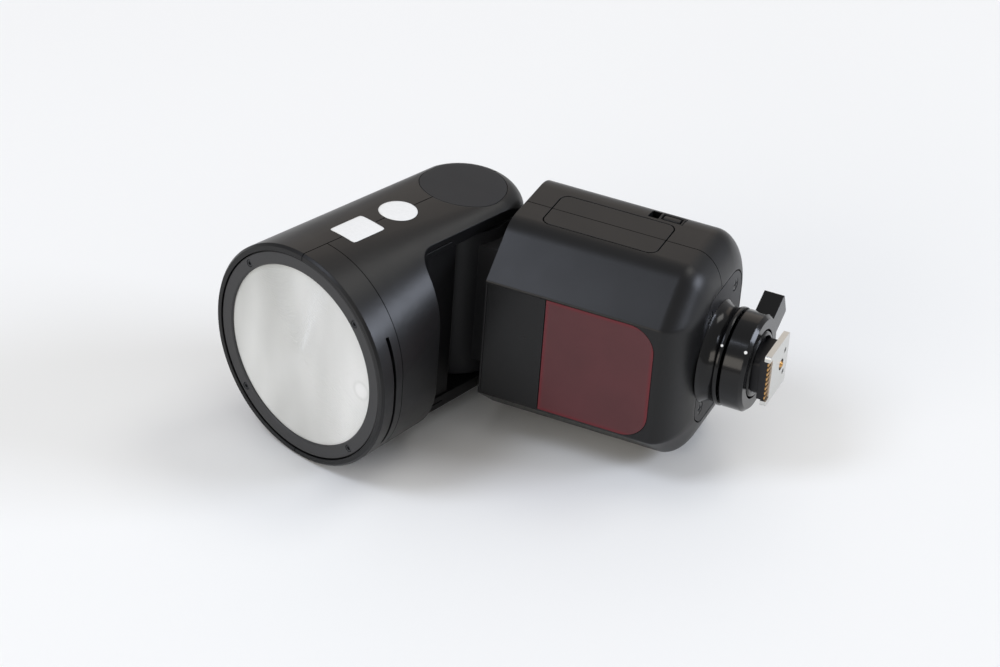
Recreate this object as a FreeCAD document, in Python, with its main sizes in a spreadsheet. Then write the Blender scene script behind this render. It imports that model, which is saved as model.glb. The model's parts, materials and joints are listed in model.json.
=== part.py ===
"""Round-head camera flash, lying on its side, as an assembly of separate pieces.

All pieces are drawn round the tilt pivot and then placed, so that the document's
origin is the middle of the shoe plate's sole. +X leaves the sole, -Y is the flash
front, +Z is the battery side. Head pieces are drawn at zero tilt, with the lens
looking along -Y, and are placed at the resting tilt.
"""
import FreeCAD, Part
import math
import os
import Sketcher
from FreeCAD import Placement, Rotation, Vector

doc = FreeCAD.newDocument("round_head_flash")
sheet = doc.addObject("Spreadsheet::Sheet", "sizes")

# Driving dimensions in millimetres and degrees
driving = [
    ("pivot_to_sole", 113), ("rest_tilt", 19), ("tilt_up", 120),
    # Head housing; the crown is the slight doming of both cheeks
    ("rim_diameter", 76), ("rim_edge", 0.8), ("head_front", 72.9), ("rear_radius", 20.5),
    ("cheek_height", 70.6), ("cheek_corner", 9), ("crown_angle", 6), ("head_wall", 2),
    ("fork_gap", 57), ("fork_floor", 16.8), ("fork_floor_near", 20.2), ("fork_floor_far", 33),
    ("fork_root_in", 8), ("fork_root_front", 19.5), ("fork_lip_in", 24), ("fork_front", 40),
    ("cheek_floor", 17.5), ("fork_fillet", 7), ("cavity_rear", 23),
    # Lens stack
    ("rim_land", 2.6), ("bezel_face", 4.5), ("bezel_sink", 0.3), ("bezel_thick", 2.2),
    ("bezel_lip", 0.7), ("lens_cover", 0.7), ("lens_thick", 2), ("lens_gap", 0.3),
    ("stack_gap", 0.1), ("reflector_depth", 24), ("reflector_floor", 16), ("reflector_wall", 0.8),
    ("flange_thick", 0.9), ("ledge_thick", 1.6), ("ledge_reach", 1),
    ("bezel_screw_land", 2.2), ("bezel_screw_shank", 1.4), ("bezel_screw_head", 2.3),
    ("bezel_screw_length", 5), ("tube_ring_radius", 13), ("tube_radius", 2.4),
    ("tube_height", 14), ("tube_leg_length", 13), ("magnet_land", 4),
    ("magnet_diameter", 2.6), ("magnet_length", 3), ("lamp_in", 7.7), ("lamp_low", 19.5),
    ("lamp_diameter", 6), ("finger_slot_rear", 65.6), ("finger_slot_width", 1.4),
    ("finger_slot_depth", 1.2), ("finger_slot_half_angle", 32),
    # Tilt pivot
    ("cap_diameter", 28.6), ("cap_thick", 1.9), ("cap_gap", 0.2), ("pivot_diameter", 8),
    ("pivot_head_diameter", 14), ("pivot_head_thick", 1.3), ("pivot_depth", 9),
    ("pivot_pocket", 1.6), ("running_gap", 0.06), ("bush_diameter", 12), ("drum_diameter", 34),
    ("drum_gap", 0.6), ("detent_disc_diameter", 22), ("detent_disc_thick", 1.4),
    ("detent_circle", 9), ("detent_hole_diameter", 1.8), ("detent_step", 45),
    ("detent_ball_diameter", 3),
    # Neck
    ("tongue_thick", 24), ("tongue_width", 44), ("neck_flange_diameter", 34),
    ("neck_flange_thick", 3.7), ("swivel_gap", 0.2), ("swivel_tube_diameter", 18.8),
    ("swivel_tube_bore", 13.6), ("swivel_tube_end", 29), ("swivel_tube_collar", 24),
    ("retainer_diameter", 25.6), ("retainer_thick", 1.5), ("bush_flange_diameter", 28),
    ("bush_flange_thick", 1.1), ("swivel_bush_diameter", 24.8),
    # Body housing: a slanted face runs from the crease beside the panel to each side
    ("body_start", 22.5), ("body_width", 70.8), ("body_front", 30), ("body_back", 26.5),
    ("slant_angle", 40), ("slant_width", 14), ("crease_radius", 1.2), ("side_corner", 12),
    ("back_corner", 15), ("back_flat", 20.4), ("shoulder_start", 81.5), ("shoulder_length", 10),
    ("shoulder_side", 14), ("shoulder_front", 20), ("shoulder_back", 6.5), ("shoulder_slant", 15),
    ("shoulder_sweep", 78),
    ("body_wall", 2), ("front_wall", 3.4), ("back_wall", 2.4), ("seat_gap", 0.15),
    # Front panel and window
    ("panel_land", 0.6), ("panel_thick", 1.5), ("panel_start", 0.8),
    ("panel_length", 20), ("window_length", 37.3), ("window_corner", 9),
    ("window_opening_length", 28), ("window_rim", 5.8), ("panel_gap", 0.3),
    # Battery
    ("battery_start_gap", 2.55), ("battery_length", 39.4), ("battery_thick", 19.2),
    ("battery_corner", 3), ("battery_gap", 0.3), ("chamber_wall", 1.2), ("chamber_base", 1.2),
    ("chamber_chamfer", 1), ("cell_side_wall", 1), ("cell_spacing", 0.4), ("cell_cover", 0.45),
    ("cell_cap", 1.5), ("cell_base", 1.1),
    ("contact_width", 1.6), ("contact_pitch", 2.65), ("contact_reach", 1.55),
    ("contact_height", 3.4), ("latch_length", 8.4), ("latch_width", 5), ("latch_travel", 3),
    ("latch_edge", 11.4), ("latch_overhang", 0.95), ("latch_sink", 0.4),
    ("latch_skin", 3.6),
    # Electronics
    ("board_front", 17.6), ("board_thick", 1.6), ("board_margin", 7.4),
    ("board_start", 28), ("board_end", 86), ("capacitor_gap", 0.3),
    ("capacitor_room", 1.8), ("capacitor_end_room", 12.4), ("front_board_thick", 1.2), ("focus_lamp_diameter", 10),
    # Controls
    ("glass_length", 26.5), ("glass_width", 44), ("glass_thick", 1.4), ("glass_start", 3.5),
    ("glass_lip", 2), ("function_row", 57), ("function_pitch", 11), ("function_length", 4),
    ("function_width", 8.4), ("button_proud", 0.9), ("button_gap", 0.3), ("flange_step", 0.7),
    ("key_flange_thick", 1), ("key_travel", 0.6), ("round_key_diameter", 6.8),
    ("dial_place", 72), ("dial_diameter", 24), ("dial_bore", 15.2), ("dial_proud", 1.8),
    ("dial_hub_diameter", 19.2), ("dial_seat_depth", 1.2), ("dial_ribs", 12),
    ("set_button_diameter", 14.4), ("set_button_proud", 2.2), ("side_key_reach", 17.5),
    ("side_key_near", 65), ("side_key_far", 79), ("switch_travel", 4),
    # Sockets
    ("usb_place", 40), ("usb_length", 9.6), ("usb_height", 4.2), ("usb_opening_length", 8.4),
    ("usb_opening_width", 2.6), ("socket_row", 14.4), ("sync_place", 58),
    ("sync_bore", 2.6), ("sync_diameter", 6.2), ("sync_depth", 12), ("sync_sink", 0.9),
    ("cover_length", 15), ("cover_width", 6.4), ("cover_thick", 1.8),
    # Foot
    ("base_plate_thick", 2.2), ("base_plate_margin", 0.6), ("base_screw_front", 8.5),
    ("base_screw_back", 14.3), ("base_screw_edge", 17.9), ("base_screw_diameter", 2.6), ("collar_diameter", 33),
    ("collar_top_diameter", 30.6), ("collar_thick", 7.11), ("stem_diameter", 18),
    ("collar_land", 5), ("ring_diameter", 32.5), ("ring_length", 7.8), ("ring_gap", 0.5),
    ("ring_web", 5.2), ("ring_recess_diameter", 23.4), ("ring_chamfer", 1.2),
    ("tab_reach", 24.8), ("tab_width", 9), ("tab_angle", 25), ("block_disc_diameter", 21.6),
    ("block_disc_thick", 1.9), ("block_width", 12.4), ("block_length", 17),
    ("plate_width", 18.6), ("plate_length", 18), ("plate_thick", 2), ("plate_corner", 0.8),
    ("centre_contact_offset", 3.2), ("centre_contact_diameter", 2.4),
    ("centre_contact_proud", 0.5), ("lock_pin_offset", 5.8), ("lock_pin_spread", 4.1),
    ("lock_pin_diameter", 1.8), ("lock_pin_sink", 0.3), ("signal_count", 8),
    ("signal_pitch", 1.8), ("signal_width", 1), ("signal_slot_depth", 2.6),
]
# Sizes that follow from others and from a named clearance or wall
following = [
    ("bezel_outer", "rim_diameter - 2 * rim_land"),
    ("bezel_inner", "bezel_outer - 2 * bezel_face"),
    ("lens_diameter", "bezel_inner + 2 * lens_cover"),
    ("bezel_screw_circle", "bezel_outer - 2 * bezel_screw_land"),
    ("magnet_circle", "rim_diameter - 2 * magnet_land"),
    ("crease_place", "body_width / 2 - slant_width"),
    ("panel_half_width", "crease_place - panel_land"),
    ("window_opening_width", "2 * (panel_half_width - window_rim)"),
    ("battery_middle", "swivel_tube_end + battery_start_gap + battery_length / 2"),
    ("battery_foot_side", "battery_middle + battery_length / 2 + battery_gap"),
    ("battery_floor", "body_width / 2 - body_wall - chamber_base"),
    ("cell_height", "body_width / 2 + battery_floor - cell_cap - cell_base"),
    ("cell_pitch", "battery_length / 2 - cell_side_wall"),
    ("cell_diameter", "min(cell_pitch - cell_spacing; battery_thick - 2 * cell_cover)"),
    ("latch_foot_side", "battery_middle + battery_length / 2 + latch_overhang"),
    ("latch_guide_top", "body_width / 2 - latch_skin"),
    ("board_half_width", "body_width / 2 - board_margin"),
    ("plate_face", "shoulder_start + shoulder_length * sin(shoulder_sweep)"),
    ("end_wall_inside", "plate_face - base_plate_thick - seat_gap - body_wall"),
    ("capacitor_place", "battery_foot_side + chamber_wall + capacitor_gap"),
    ("capacitor_diameter", "end_wall_inside - capacitor_room - capacitor_place"),
    ("capacitor_length", "body_width - 2 * capacitor_end_room"),
    ("base_screw_z", "body_width / 2 - base_screw_edge"),
]
for row, (alias, number) in enumerate(driving + following, start=1):
    sheet.set(f"A{row}", alias)
    sheet.set(f"B{row}", f"={number}")
    sheet.setAlias(f"B{row}", alias)
doc.recompute()


def size(alias):
    """One driving dimension, read back from the sheet."""
    return float(sheet.get(alias))


def worked_out(text):
    """The present value of an expression on the sheet's aliases."""
    answer = sheet.evalExpression(text)
    return float(getattr(answer, "Value", answer))


def named(*words):
    """Turn bare aliases in a formula into references to the sheet."""
    known = {alias for alias, _ in driving + following}
    out = []
    for text in words:
        text = str(text)
        token = ""
        built = ""
        for letter in text + " ":
            if letter.isalnum() or letter == "_":
                token += letter
                continue
            built += f"sizes.{token}" if token in known else token
            built += letter
            token = ""
        out.append(built.strip())
    return out


nodes = {}
to_sole = "-pivot_to_sole"


def in_body(piece, label):
    """Place a piece of the body, neck or foot and give it its node name."""
    piece.Label = label
    piece.setExpression("Placement.Base.x", named(to_sole)[0])
    nodes[label] = piece
    return piece


def in_head(piece, label):
    """Place a piece of the head at the resting tilt and give it its node name."""
    piece.Label = label
    piece.Placement = Placement(Vector(), Rotation(Vector(0, 0, -1), size("rest_tilt")))
    piece.setExpression("Placement.Base.x", named(to_sole)[0])
    piece.setExpression("Placement.Rotation.Angle", "sizes.rest_tilt")
    nodes[label] = piece
    return piece


def shaped(label, shape, head=False):
    """A moulded piece whose surface only Part's own functions can make."""
    piece = doc.addObject("Part::Feature", label)
    piece.Shape = shape
    place = Placement(Vector(-size("pivot_to_sole"), 0, 0), Rotation())
    if head:
        place.Rotation = Rotation(Vector(0, 0, 1), -size("rest_tilt"))
    piece.Placement = place
    piece.Label = label
    nodes[label] = piece
    return piece


def origin_plane(body, role):
    return next(f for f in body.Origin.OriginFeatures if f.Role == role)


def outline(body, name, role, corners, offset="0"):
    """A closed sketch with straight sides, every corner bound to the sheet."""
    sketch = body.newObject("Sketcher::SketchObject", name)
    sketch.AttachmentSupport = [(origin_plane(body, role), "")]
    sketch.MapMode = "FlatFace"
    bound = [named(first, second) for first, second in corners]
    spots = [Vector(worked_out(a), worked_out(b), 0) for a, b in bound]
    for start, end in zip(spots, spots[1:] + spots[:1]):
        sketch.addGeometry(Part.LineSegment(start, end), False)
    last = len(spots) - 1
    for i in range(len(spots)):
        before = i - 1 if i else last
        sketch.addConstraint(Sketcher.Constraint("Coincident", before, 2, i, 1))
    for i, (a, b) in enumerate(bound):
        for kind, text, number in (("DistanceX", a, spots[i].x), ("DistanceY", b, spots[i].y)):
            c = sketch.addConstraint(Sketcher.Constraint(kind, -1, 1, i, 1, number))
            sketch.setExpression(f"Constraints[{c}]", text)
    if offset != "0":
        sketch.setExpression("AttachmentOffset.Base.z", named(offset)[0])
    return sketch


def turned(name, corners, axis="H_Axis", role="XY_Plane"):
    """A body of revolution from a half profile."""
    body = doc.addObject("PartDesign::Body", name)
    sketch = outline(body, name + "_profile", role, corners)
    feature = body.newObject("PartDesign::Revolution", name + "_turn")
    feature.Profile = sketch
    feature.ReferenceAxis = (sketch, [axis])
    feature.Angle = 360
    body.Tip = feature
    return body


def prism(name, role, corners, length, offset="0", corner_radius=None, reverse=False):
    """A padded body, with its upright edges rounded when a radius is given."""
    body = doc.addObject("PartDesign::Body", name)
    sketch = outline(body, name + "_outline", role, corners, offset)
    pad = body.newObject("PartDesign::Pad", name + "_pad")
    pad.Profile = sketch
    pad.setExpression("Length", named(length)[0])
    pad.Reversed = reverse
    body.Tip = pad
    if corner_radius:
        doc.recompute()
        across = {"XY_Plane": Vector(0, 0, 1), "XZ_Plane": Vector(0, 1, 0),
                  "YZ_Plane": Vector(1, 0, 0)}[role]
        upright = [f"Edge{i}" for i, e in enumerate(pad.Shape.Edges, start=1)
                   if abs(e.tangentAt(e.FirstParameter).dot(across)) > 0.999]
        fillet = body.newObject("PartDesign::Fillet", name + "_fillet")
        fillet.Base = (pad, upright)
        fillet.setExpression("Radius", named(corner_radius)[0])
        body.Tip = fillet
    return body


def rectangle(low_a, high_a, low_b, high_b):
    return [(low_a, low_b), (high_a, low_b), (high_a, high_b), (low_a, high_b)]


def block(name, low, high):
    """A bound box between two corners."""
    box = doc.addObject("Part::Box", name)
    for side, letter, a, b in zip(("Length", "Width", "Height"), "xyz", low, high):
        low_text, high_text = named(a, b)
        box.setExpression(side, f"({high_text}) - ({low_text})")
        box.setExpression(f"Placement.Base.{letter}", low_text)
    return box


directions = {"x": Rotation(Vector(0, 1, 0), 90), "y": Rotation(Vector(1, 0, 0), -90),
              "z": Rotation()}


def rod(name, along, diameter, start, end, middle):
    """A bound cylinder along x, y or z; middle gives its two other coordinates."""
    bar = doc.addObject("Part::Cylinder", name)
    start_text, end_text, diameter_text = named(start, end, diameter)
    bar.setExpression("Radius", f"({diameter_text}) / 2")
    bar.setExpression("Height", f"({end_text}) - ({start_text})")
    bar.Placement = Placement(Vector(), directions[along])
    others = [letter for letter in "xyz" if letter != along]
    bar.setExpression(f"Placement.Base.{along}", start_text)
    for letter, text in zip(others, named(*middle)):
        bar.setExpression(f"Placement.Base.{letter}", text)
    return bar


def joined(name, pieces):
    fuse = doc.addObject("Part::MultiFuse", name)
    fuse.Shapes = pieces
    return fuse


def group(name, pieces):
    """Alike pieces in one node, as separate solids."""
    compound = doc.addObject("Part::Compound", name)
    compound.Links = pieces
    return compound


def minus(name, base, tools):
    cut = doc.addObject("Part::Cut", name)
    cut.Base = base
    cut.Tool = tools[0] if len(tools) == 1 else joined(name + "_tools", tools)
    return cut


# Head housing: two moulded halves that meet on the plane through the lens axis

rim_radius = size("rim_diameter") / 2
head_front = size("head_front")
rear_radius = size("rear_radius")
cheek_half = size("cheek_height") / 2
rim_distance = math.hypot(head_front, rim_radius)
taper = math.atan2(rim_radius, head_front) - math.asin(rear_radius / rim_distance)
wall = size("head_wall")
up = Vector(0, 0, 1)


def half_section(root, outward, reach, half_height, corner):
    """Half of a rounded section with crowned cheeks, from the parting plane outwards."""
    tip = math.radians(size("crown_angle"))
    crown = (reach - corner) / math.sin(tip) + corner
    crown_low = half_height - crown
    level = crown_low + (crown - corner) * math.cos(tip)

    def spot(out, high):
        return root + outward * out + up * high

    def on_crown(turn, way):
        return spot(crown * math.sin(turn), way * (crown_low + crown * math.cos(turn)))

    def on_corner(turn, way):
        return spot(reach - corner + corner * math.sin(turn), way * (level + corner * math.cos(turn)))

    half_way = (tip + math.pi / 2) / 2
    edges = []
    for way in (-1, 1):
        arcs = [Part.Arc(on_crown(0, way), on_crown(tip / 2, way), on_crown(tip, way)),
                Part.Arc(on_corner(tip, way), on_corner(half_way, way), spot(reach, way * level))]
        edges += [arc.toShape() for arc in arcs][::-way]
        if way < 0:
            edges = edges[::-1] + [Part.makeLine(spot(reach, -level), spot(reach, level))]
    edges.append(Part.makeLine(spot(0, half_height), spot(0, -half_height)))
    return Part.Wire(Part.__sortEdges__(edges))


def head_half(side, inset, front, rear):
    """One half of the head's form, moved in by inset; rear None closes it round the pivot."""
    def level_section(distance, trim):
        """The section square to the lens axis at a distance from the pivot."""
        share = (head_front - distance) / head_front
        reach = rim_radius - (head_front - distance) * math.tan(taper) - inset - trim
        high = rim_radius - share * (rim_radius - cheek_half) - inset - trim
        corner = min(rim_radius + (size("cheek_corner") - rim_radius) * share - inset, reach - 0.2)
        return half_section(Vector(0, -distance, 0), Vector(side, 0, 0), reach, high, corner)

    sections = [level_section(front, 0)]
    if front == head_front:
        edge = size("rim_edge")
        sections = [level_section(front, edge), level_section(front - edge, 0)]
    if rear is None:
        outward = Vector(side * math.cos(taper), math.sin(taper), 0)
        sections.append(half_section(Vector(), outward, rear_radius, cheek_half, size("cheek_corner")))
    else:
        sections.append(level_section(rear, 0))
    form = Part.makeLoft(sections, True, True)
    if rear is None:
        turn = side * (90 - math.degrees(taper))
        form = form.fuse(Part.Face(sections[-1]).revolve(Vector(), up, turn)).removeSplitter()
    return form


def grown(spots, margin):
    """A closed outline with every side moved out by margin."""
    lines = []
    for first, second in zip(spots, spots[1:] + spots[:1]):
        way = (second - first).normalize()
        lines.append((first + Vector(way.y, -way.x, 0) * margin, way))
    moved = []
    for (a, u), (b, v) in zip(lines[-1:] + lines[:-1], lines):
        across = u.x * v.y - u.y * v.x
        share = ((b.x - a.x) * v.y - (b.y - a.y) * v.x) / across
        moved.append(a + u * share)
    return moved


def fork_space(margin):
    """The space between the cheeks that the neck sweeps through, grown by margin."""
    limit = math.radians(size("tilt_up"))
    along = Vector(math.cos(limit), math.sin(limit), 0)
    away = Vector(-math.sin(limit), math.cos(limit), 0)
    corner = away * (size("tongue_thick") / 2 + 1.5)
    far = corner + along * 26
    wide = rim_radius * 1.2
    spots = [Vector(wide, -size("fork_front") - 2.2, 0),
             Vector(wide, 45, 0), Vector(far.x, 45, 0), far, corner,
             Vector(size("fork_root_in"), -size("fork_root_front"), 0),
             Vector(size("fork_floor"), -size("fork_floor_near"), 0),
             Vector(size("fork_floor"), -size("fork_floor_far"), 0),
             Vector(size("fork_lip_in"), -size("fork_front"), 0)]
    if margin:
        spots = grown(spots, margin)
    high = size("fork_gap") / 2 + margin
    swept = Part.Face(Part.makePolygon(spots + spots[:1])).extrude(up * (2 * high))
    drum = Part.makeCylinder(size("drum_diameter") / 2 + size("drum_gap") + margin, 2 * high)
    return swept.fuse(drum).translated(Vector(0, 0, -high))


def cheek_relief():
    """What is cut off both cheeks so that they pass in front of the body."""
    floor = size("cheek_floor")
    front_wall = size("fork_front")
    fillet = size("fork_fillet")
    deep = math.sqrt(0.5)
    start = Vector(floor, -front_wall + fillet, 0)
    middle = Vector(floor + fillet * (1 - deep), -front_wall + fillet * (1 - deep), 0)
    end = Vector(floor + fillet, -front_wall, 0)
    edges = [Part.Arc(start, middle, end).toShape()]
    corners = [end, Vector(rim_radius * 1.2, -front_wall - 2.2, 0),
               Vector(rim_radius * 1.2, 45, 0), Vector(floor, 45, 0), start]
    for first, second in zip(corners, corners[1:]):
        edges.append(Part.makeLine(first, second))
    face = Part.Face(Part.Wire(edges))
    return face.extrude(up * 100).translated(Vector(0, 0, -50))


def lens_cylinder(diameter, front, rear):
    """A cylinder on the lens axis between two distances from the pivot."""
    return Part.makeCylinder(diameter / 2, front - rear, Vector(0, -rear, 0), Vector(0, -1, 0))


bezel_front = head_front - size("bezel_sink")
bezel_rear = bezel_front - size("bezel_thick")
lens_rear = bezel_front - size("bezel_lip") - size("stack_gap") - size("lens_thick")
flange_front = lens_rear - size("stack_gap")
flange_rear = flange_front - size("flange_thick")
ledge_front = flange_rear - size("stack_gap")
ledge_rear = ledge_front - size("ledge_thick")
lens_bore = size("lens_diameter") + 2 * size("lens_gap")
bezel_bore = size("bezel_outer") + 2 * size("panel_gap")
pivot_depth_top = cheek_half - size("cap_thick")
screw_angles = [45, 135, 225, 315]
magnet_angles = [20 * i for i in (3.5, 5.5, 8, 10, 12.5, 14.5)]


def round_lens(circle, angle):
    """A spot on a circle round the lens axis; angle 0 is towards the foot."""
    turn = math.radians(angle)
    return Vector(circle / 2 * math.cos(turn), 0, circle / 2 * math.sin(turn))


def head_openings():
    """Everything cut out of the two head shells alike."""
    tools = [fork_space(0), cheek_relief(),
             lens_cylinder(bezel_bore, head_front + 1, bezel_rear),
             lens_cylinder(lens_bore, bezel_rear + 1, ledge_front),
             lens_cylinder(lens_bore - 2 * size("ledge_reach"), ledge_front + 1, ledge_rear - 1)]
    for angle in screw_angles:
        spot = round_lens(size("bezel_screw_circle"), angle)
        deep = size("bezel_screw_length") - size("bezel_thick") + 0.6
        spot.y = -bezel_rear
        tools.append(Part.makeCylinder(size("bezel_screw_shank") / 2 + 0.05, deep, spot, Vector(0, 1, 0)))
    for angle in magnet_angles:
        spot = round_lens(size("magnet_circle"), angle)
        spot.y = -ledge_rear + 1
        tools.append(Part.makeCylinder(size("magnet_diameter") / 2 + 0.1,
                                       size("magnet_length") + 1.2, spot, Vector(0, -1, 0)))
    for way in (-1, 1):
        for diameter, low, high in (
                (size("cap_diameter") + 2 * size("cap_gap"), pivot_depth_top, cheek_half + 1),
                (size("pivot_head_diameter") + 1, pivot_depth_top - size("pivot_pocket"), cheek_half),
                (size("bush_diameter"), 20, cheek_half)):
            tools.append(Part.makeCylinder(diameter / 2, high - low, Vector(0, 0, way * low),
                                           Vector(0, 0, way)))
    ball_spot = Vector(-size("detent_circle") * math.sqrt(0.5), -size("detent_circle") * math.sqrt(0.5),
                       size("fork_gap") / 2 - 1)
    tools.append(Part.makeCylinder(size("detent_ball_diameter") / 2 + 0.1, 4.6, ball_spot, up))
    return tools


def head_shell(side):
    form = head_half(side, 0, head_front, None)
    cavity = head_half(side, wall, ledge_rear, size("cavity_rear"))
    cavity = cavity.cut(fork_space(wall))
    tools = head_openings() + [cavity]
    if side > 0:
        slot_rear = size("finger_slot_rear")
        slot_width = size("finger_slot_width")
        outer = lens_cylinder(2 * rim_radius + 4, slot_rear + slot_width, slot_rear)
        surface = rim_radius - (head_front - slot_rear) * math.tan(taper)
        inner = lens_cylinder(2 * (surface - size("finger_slot_depth")), slot_rear + 3, slot_rear - 1)
        wide = rim_radius + 2
        reach = wide * math.tan(math.radians(size("finger_slot_half_angle")))
        wedge = Part.Face(Part.makePolygon([
            Vector(0, 0, 0), Vector(wide, 0, -reach), Vector(wide, 0, reach),
            Vector(0, 0, 0)])).extrude(Vector(0, -head_front, 0))
        tools.append(outer.cut(inner).common(wedge))
    return form.cut(tools)


shaped("head_top_shell", head_shell(-1), head=True)
shaped("head_bottom_shell", head_shell(1), head=True)

# Lens stack, all on the lens axis

doc.recompute()
front_text = "head_front - bezel_sink"
rear_text = f"{front_text} - bezel_thick"
lens_front_text = f"{front_text} - bezel_lip - stack_gap"
lens_rear_text = f"{lens_front_text} - lens_thick"
flange_front_text = f"{lens_rear_text} - stack_gap"
flange_rear_text = f"{flange_front_text} - flange_thick"

lip_text = f"{front_text} - bezel_lip"
bezel_ring = turned("bezel_ring", [
    ("bezel_inner / 2 + 0.4", f"-({front_text})"), ("bezel_outer / 2 - 0.3", f"-({front_text})"),
    ("bezel_outer / 2", f"-({front_text} - 0.3)"), ("bezel_outer / 2", f"-({rear_text})"),
    ("lens_diameter / 2 + lens_gap", f"-({rear_text})"),
    ("lens_diameter / 2 + lens_gap", f"-({lip_text})"), ("bezel_inner / 2", f"-({lip_text})"),
    ("bezel_inner / 2", f"-({front_text} - 0.4)")], axis="V_Axis")
screw_holes = []
screws = []
for number, angle in enumerate(screw_angles, start=1):
    spot = (f"bezel_screw_circle / 2 * cos({angle})", f"bezel_screw_circle / 2 * sin({angle})")
    screw_holes.append(rod(f"bezel_hole_{number}", "y", "bezel_screw_shank + 0.2",
                           f"-({front_text}) - 1", f"-({rear_text}) + 1", spot))
    screw_holes.append(rod(f"bezel_sink_{number}", "y", "bezel_screw_head + 0.3",
                           f"-({front_text}) - 1", f"-({front_text}) + 0.9", spot))
    head_piece = rod(f"bezel_screw_head_{number}", "y", "bezel_screw_head",
                     f"-({front_text}) + 0.1", f"-({front_text}) + 0.9", spot)
    shank = rod(f"bezel_screw_shank_{number}", "y", "bezel_screw_shank",
                f"-({front_text}) + 0.8", f"-({front_text}) + bezel_screw_length", spot)
    screws.append(joined(f"bezel_screw_{number}", [head_piece, shank]))
in_head(minus("bezel_with_holes", bezel_ring, screw_holes), "front_bezel")
in_head(group("bezel_screw_set", screws), "bezel_screws")

in_head(turned("lens_disc", [
    ("0", f"-({lens_front_text})"), ("lens_diameter / 2", f"-({lens_front_text})"),
    ("lens_diameter / 2", f"-({lens_rear_text})"), ("0", f"-({lens_rear_text})")],
    axis="V_Axis"), "fresnel_lens")

# The bowl's half profile follows a parabola from its floor to its flange
bowl_steps = 4
bowl_out = []
bowl_in = []
for i in range(bowl_steps + 1):
    share = i / bowl_steps
    radius = f"(reflector_floor / 2 + (lens_diameter / 2 - 2.2 - reflector_floor / 2) * {share})"
    level = f"(-({flange_rear_text}) + reflector_depth * (1 - {share ** 2}))"
    bowl_in.append((radius, level))
    bowl_out.append((f"{radius} + reflector_wall * {0.35 + 0.65 * share}", f"{level} + reflector_wall"))
bowl_profile = [("0", f"-({flange_rear_text}) + reflector_depth")] + bowl_in[:-1]
bowl_profile += [(bowl_in[-1][0], f"-({flange_front_text})"),
                 ("lens_diameter / 2", f"-({flange_front_text})"),
                 ("lens_diameter / 2", f"-({flange_rear_text})"),
                 (bowl_out[-1][0], f"-({flange_rear_text})")]
bowl_profile += bowl_out[-2::-1]
bowl_profile += [("0", f"-({flange_rear_text}) + reflector_depth + reflector_wall")]
bowl = turned("reflector_bowl", bowl_profile, axis="V_Axis")
bowl_floor_text = f"(-({flange_rear_text}) + reflector_depth)"
tube_level = f"({bowl_floor_text} - tube_height)"
legs = []
leg_holes = []
for way in (-1, 1):
    spot = ("0", f"{way} * tube_ring_radius")
    leg_holes.append(rod(f"tube_hole_{way + 2}", "y", "2 * tube_radius + 0.6",
                         tube_level, f"{bowl_floor_text} + 4", spot))
    legs.append(rod(f"tube_leg_{way + 2}", "y", "2 * tube_radius", tube_level,
                    f"{tube_level} + tube_leg_length", spot))
lamp_spot = ("lamp_in", "-lamp_low")
lamp_hole = rod("lamp_hole", "y", "lamp_diameter + 0.4", f"{bowl_floor_text} - 12",
                f"{bowl_floor_text} + 2", lamp_spot)
in_head(minus("reflector_with_holes", bowl, leg_holes + [lamp_hole]), "reflector")

# The tube's ring has eight flat sides, each half a turn step off the axis
arc_tube = turned("tube_ring", [
    (f"tube_ring_radius + tube_radius * cos({45 * i + 22.5})",
     f"{tube_level} + tube_radius * sin({45 * i + 22.5})") for i in range(8)], axis="V_Axis")
in_head(joined("tube_glass", [arc_tube] + legs), "flash_tube")

lamp_base = rod("lamp_base", "y", "lamp_diameter", f"{bowl_floor_text} - 8",
                f"{bowl_floor_text} - 2", lamp_spot)
lamp_board = rod("lamp_board_disc", "y", "lamp_diameter + 4", f"{bowl_floor_text} - 2.1",
                 f"{bowl_floor_text} - 0.9", lamp_spot)
lamp_dome = doc.addObject("Part::Sphere", "lamp_dome")
lamp_dome.setExpression("Radius", "sizes.lamp_diameter / 2 - 0.4")
for letter, text in zip("xyz", named("lamp_in", f"{bowl_floor_text} - 8", "-lamp_low")):
    lamp_dome.setExpression(f"Placement.Base.{letter}", text)
in_head(joined("lamp_pieces", [lamp_base, lamp_board, lamp_dome]), "modelling_lamp")

magnets = []
for number, angle in enumerate(magnet_angles, start=1):
    spot = (f"magnet_circle / 2 * cos({angle})", f"magnet_circle / 2 * sin({angle})")
    magnets.append(rod(f"magnet_{number}", "y", "magnet_diameter",
                       f"-({flange_rear_text} - stack_gap - ledge_thick) - magnet_length",
                       f"-({flange_rear_text} - stack_gap - ledge_thick)", spot))
in_head(group("magnet_set", magnets), "accessory_magnets")

# Tilt pivot: bushes and caps turn with the head, pins and detent disc stay with the neck

whole_head = head_half(-1, 0, head_front, None).fuse(head_half(1, 0, head_front, None))
for way, label in ((1, "battery_side_cap"), (-1, "socket_side_cap")):
    disc = Part.makeCylinder(size("cap_diameter") / 2, 10, Vector(0, 0, way * pivot_depth_top),
                             Vector(0, 0, way))
    shaped(label, disc.common(whole_head), head=True)

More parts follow.
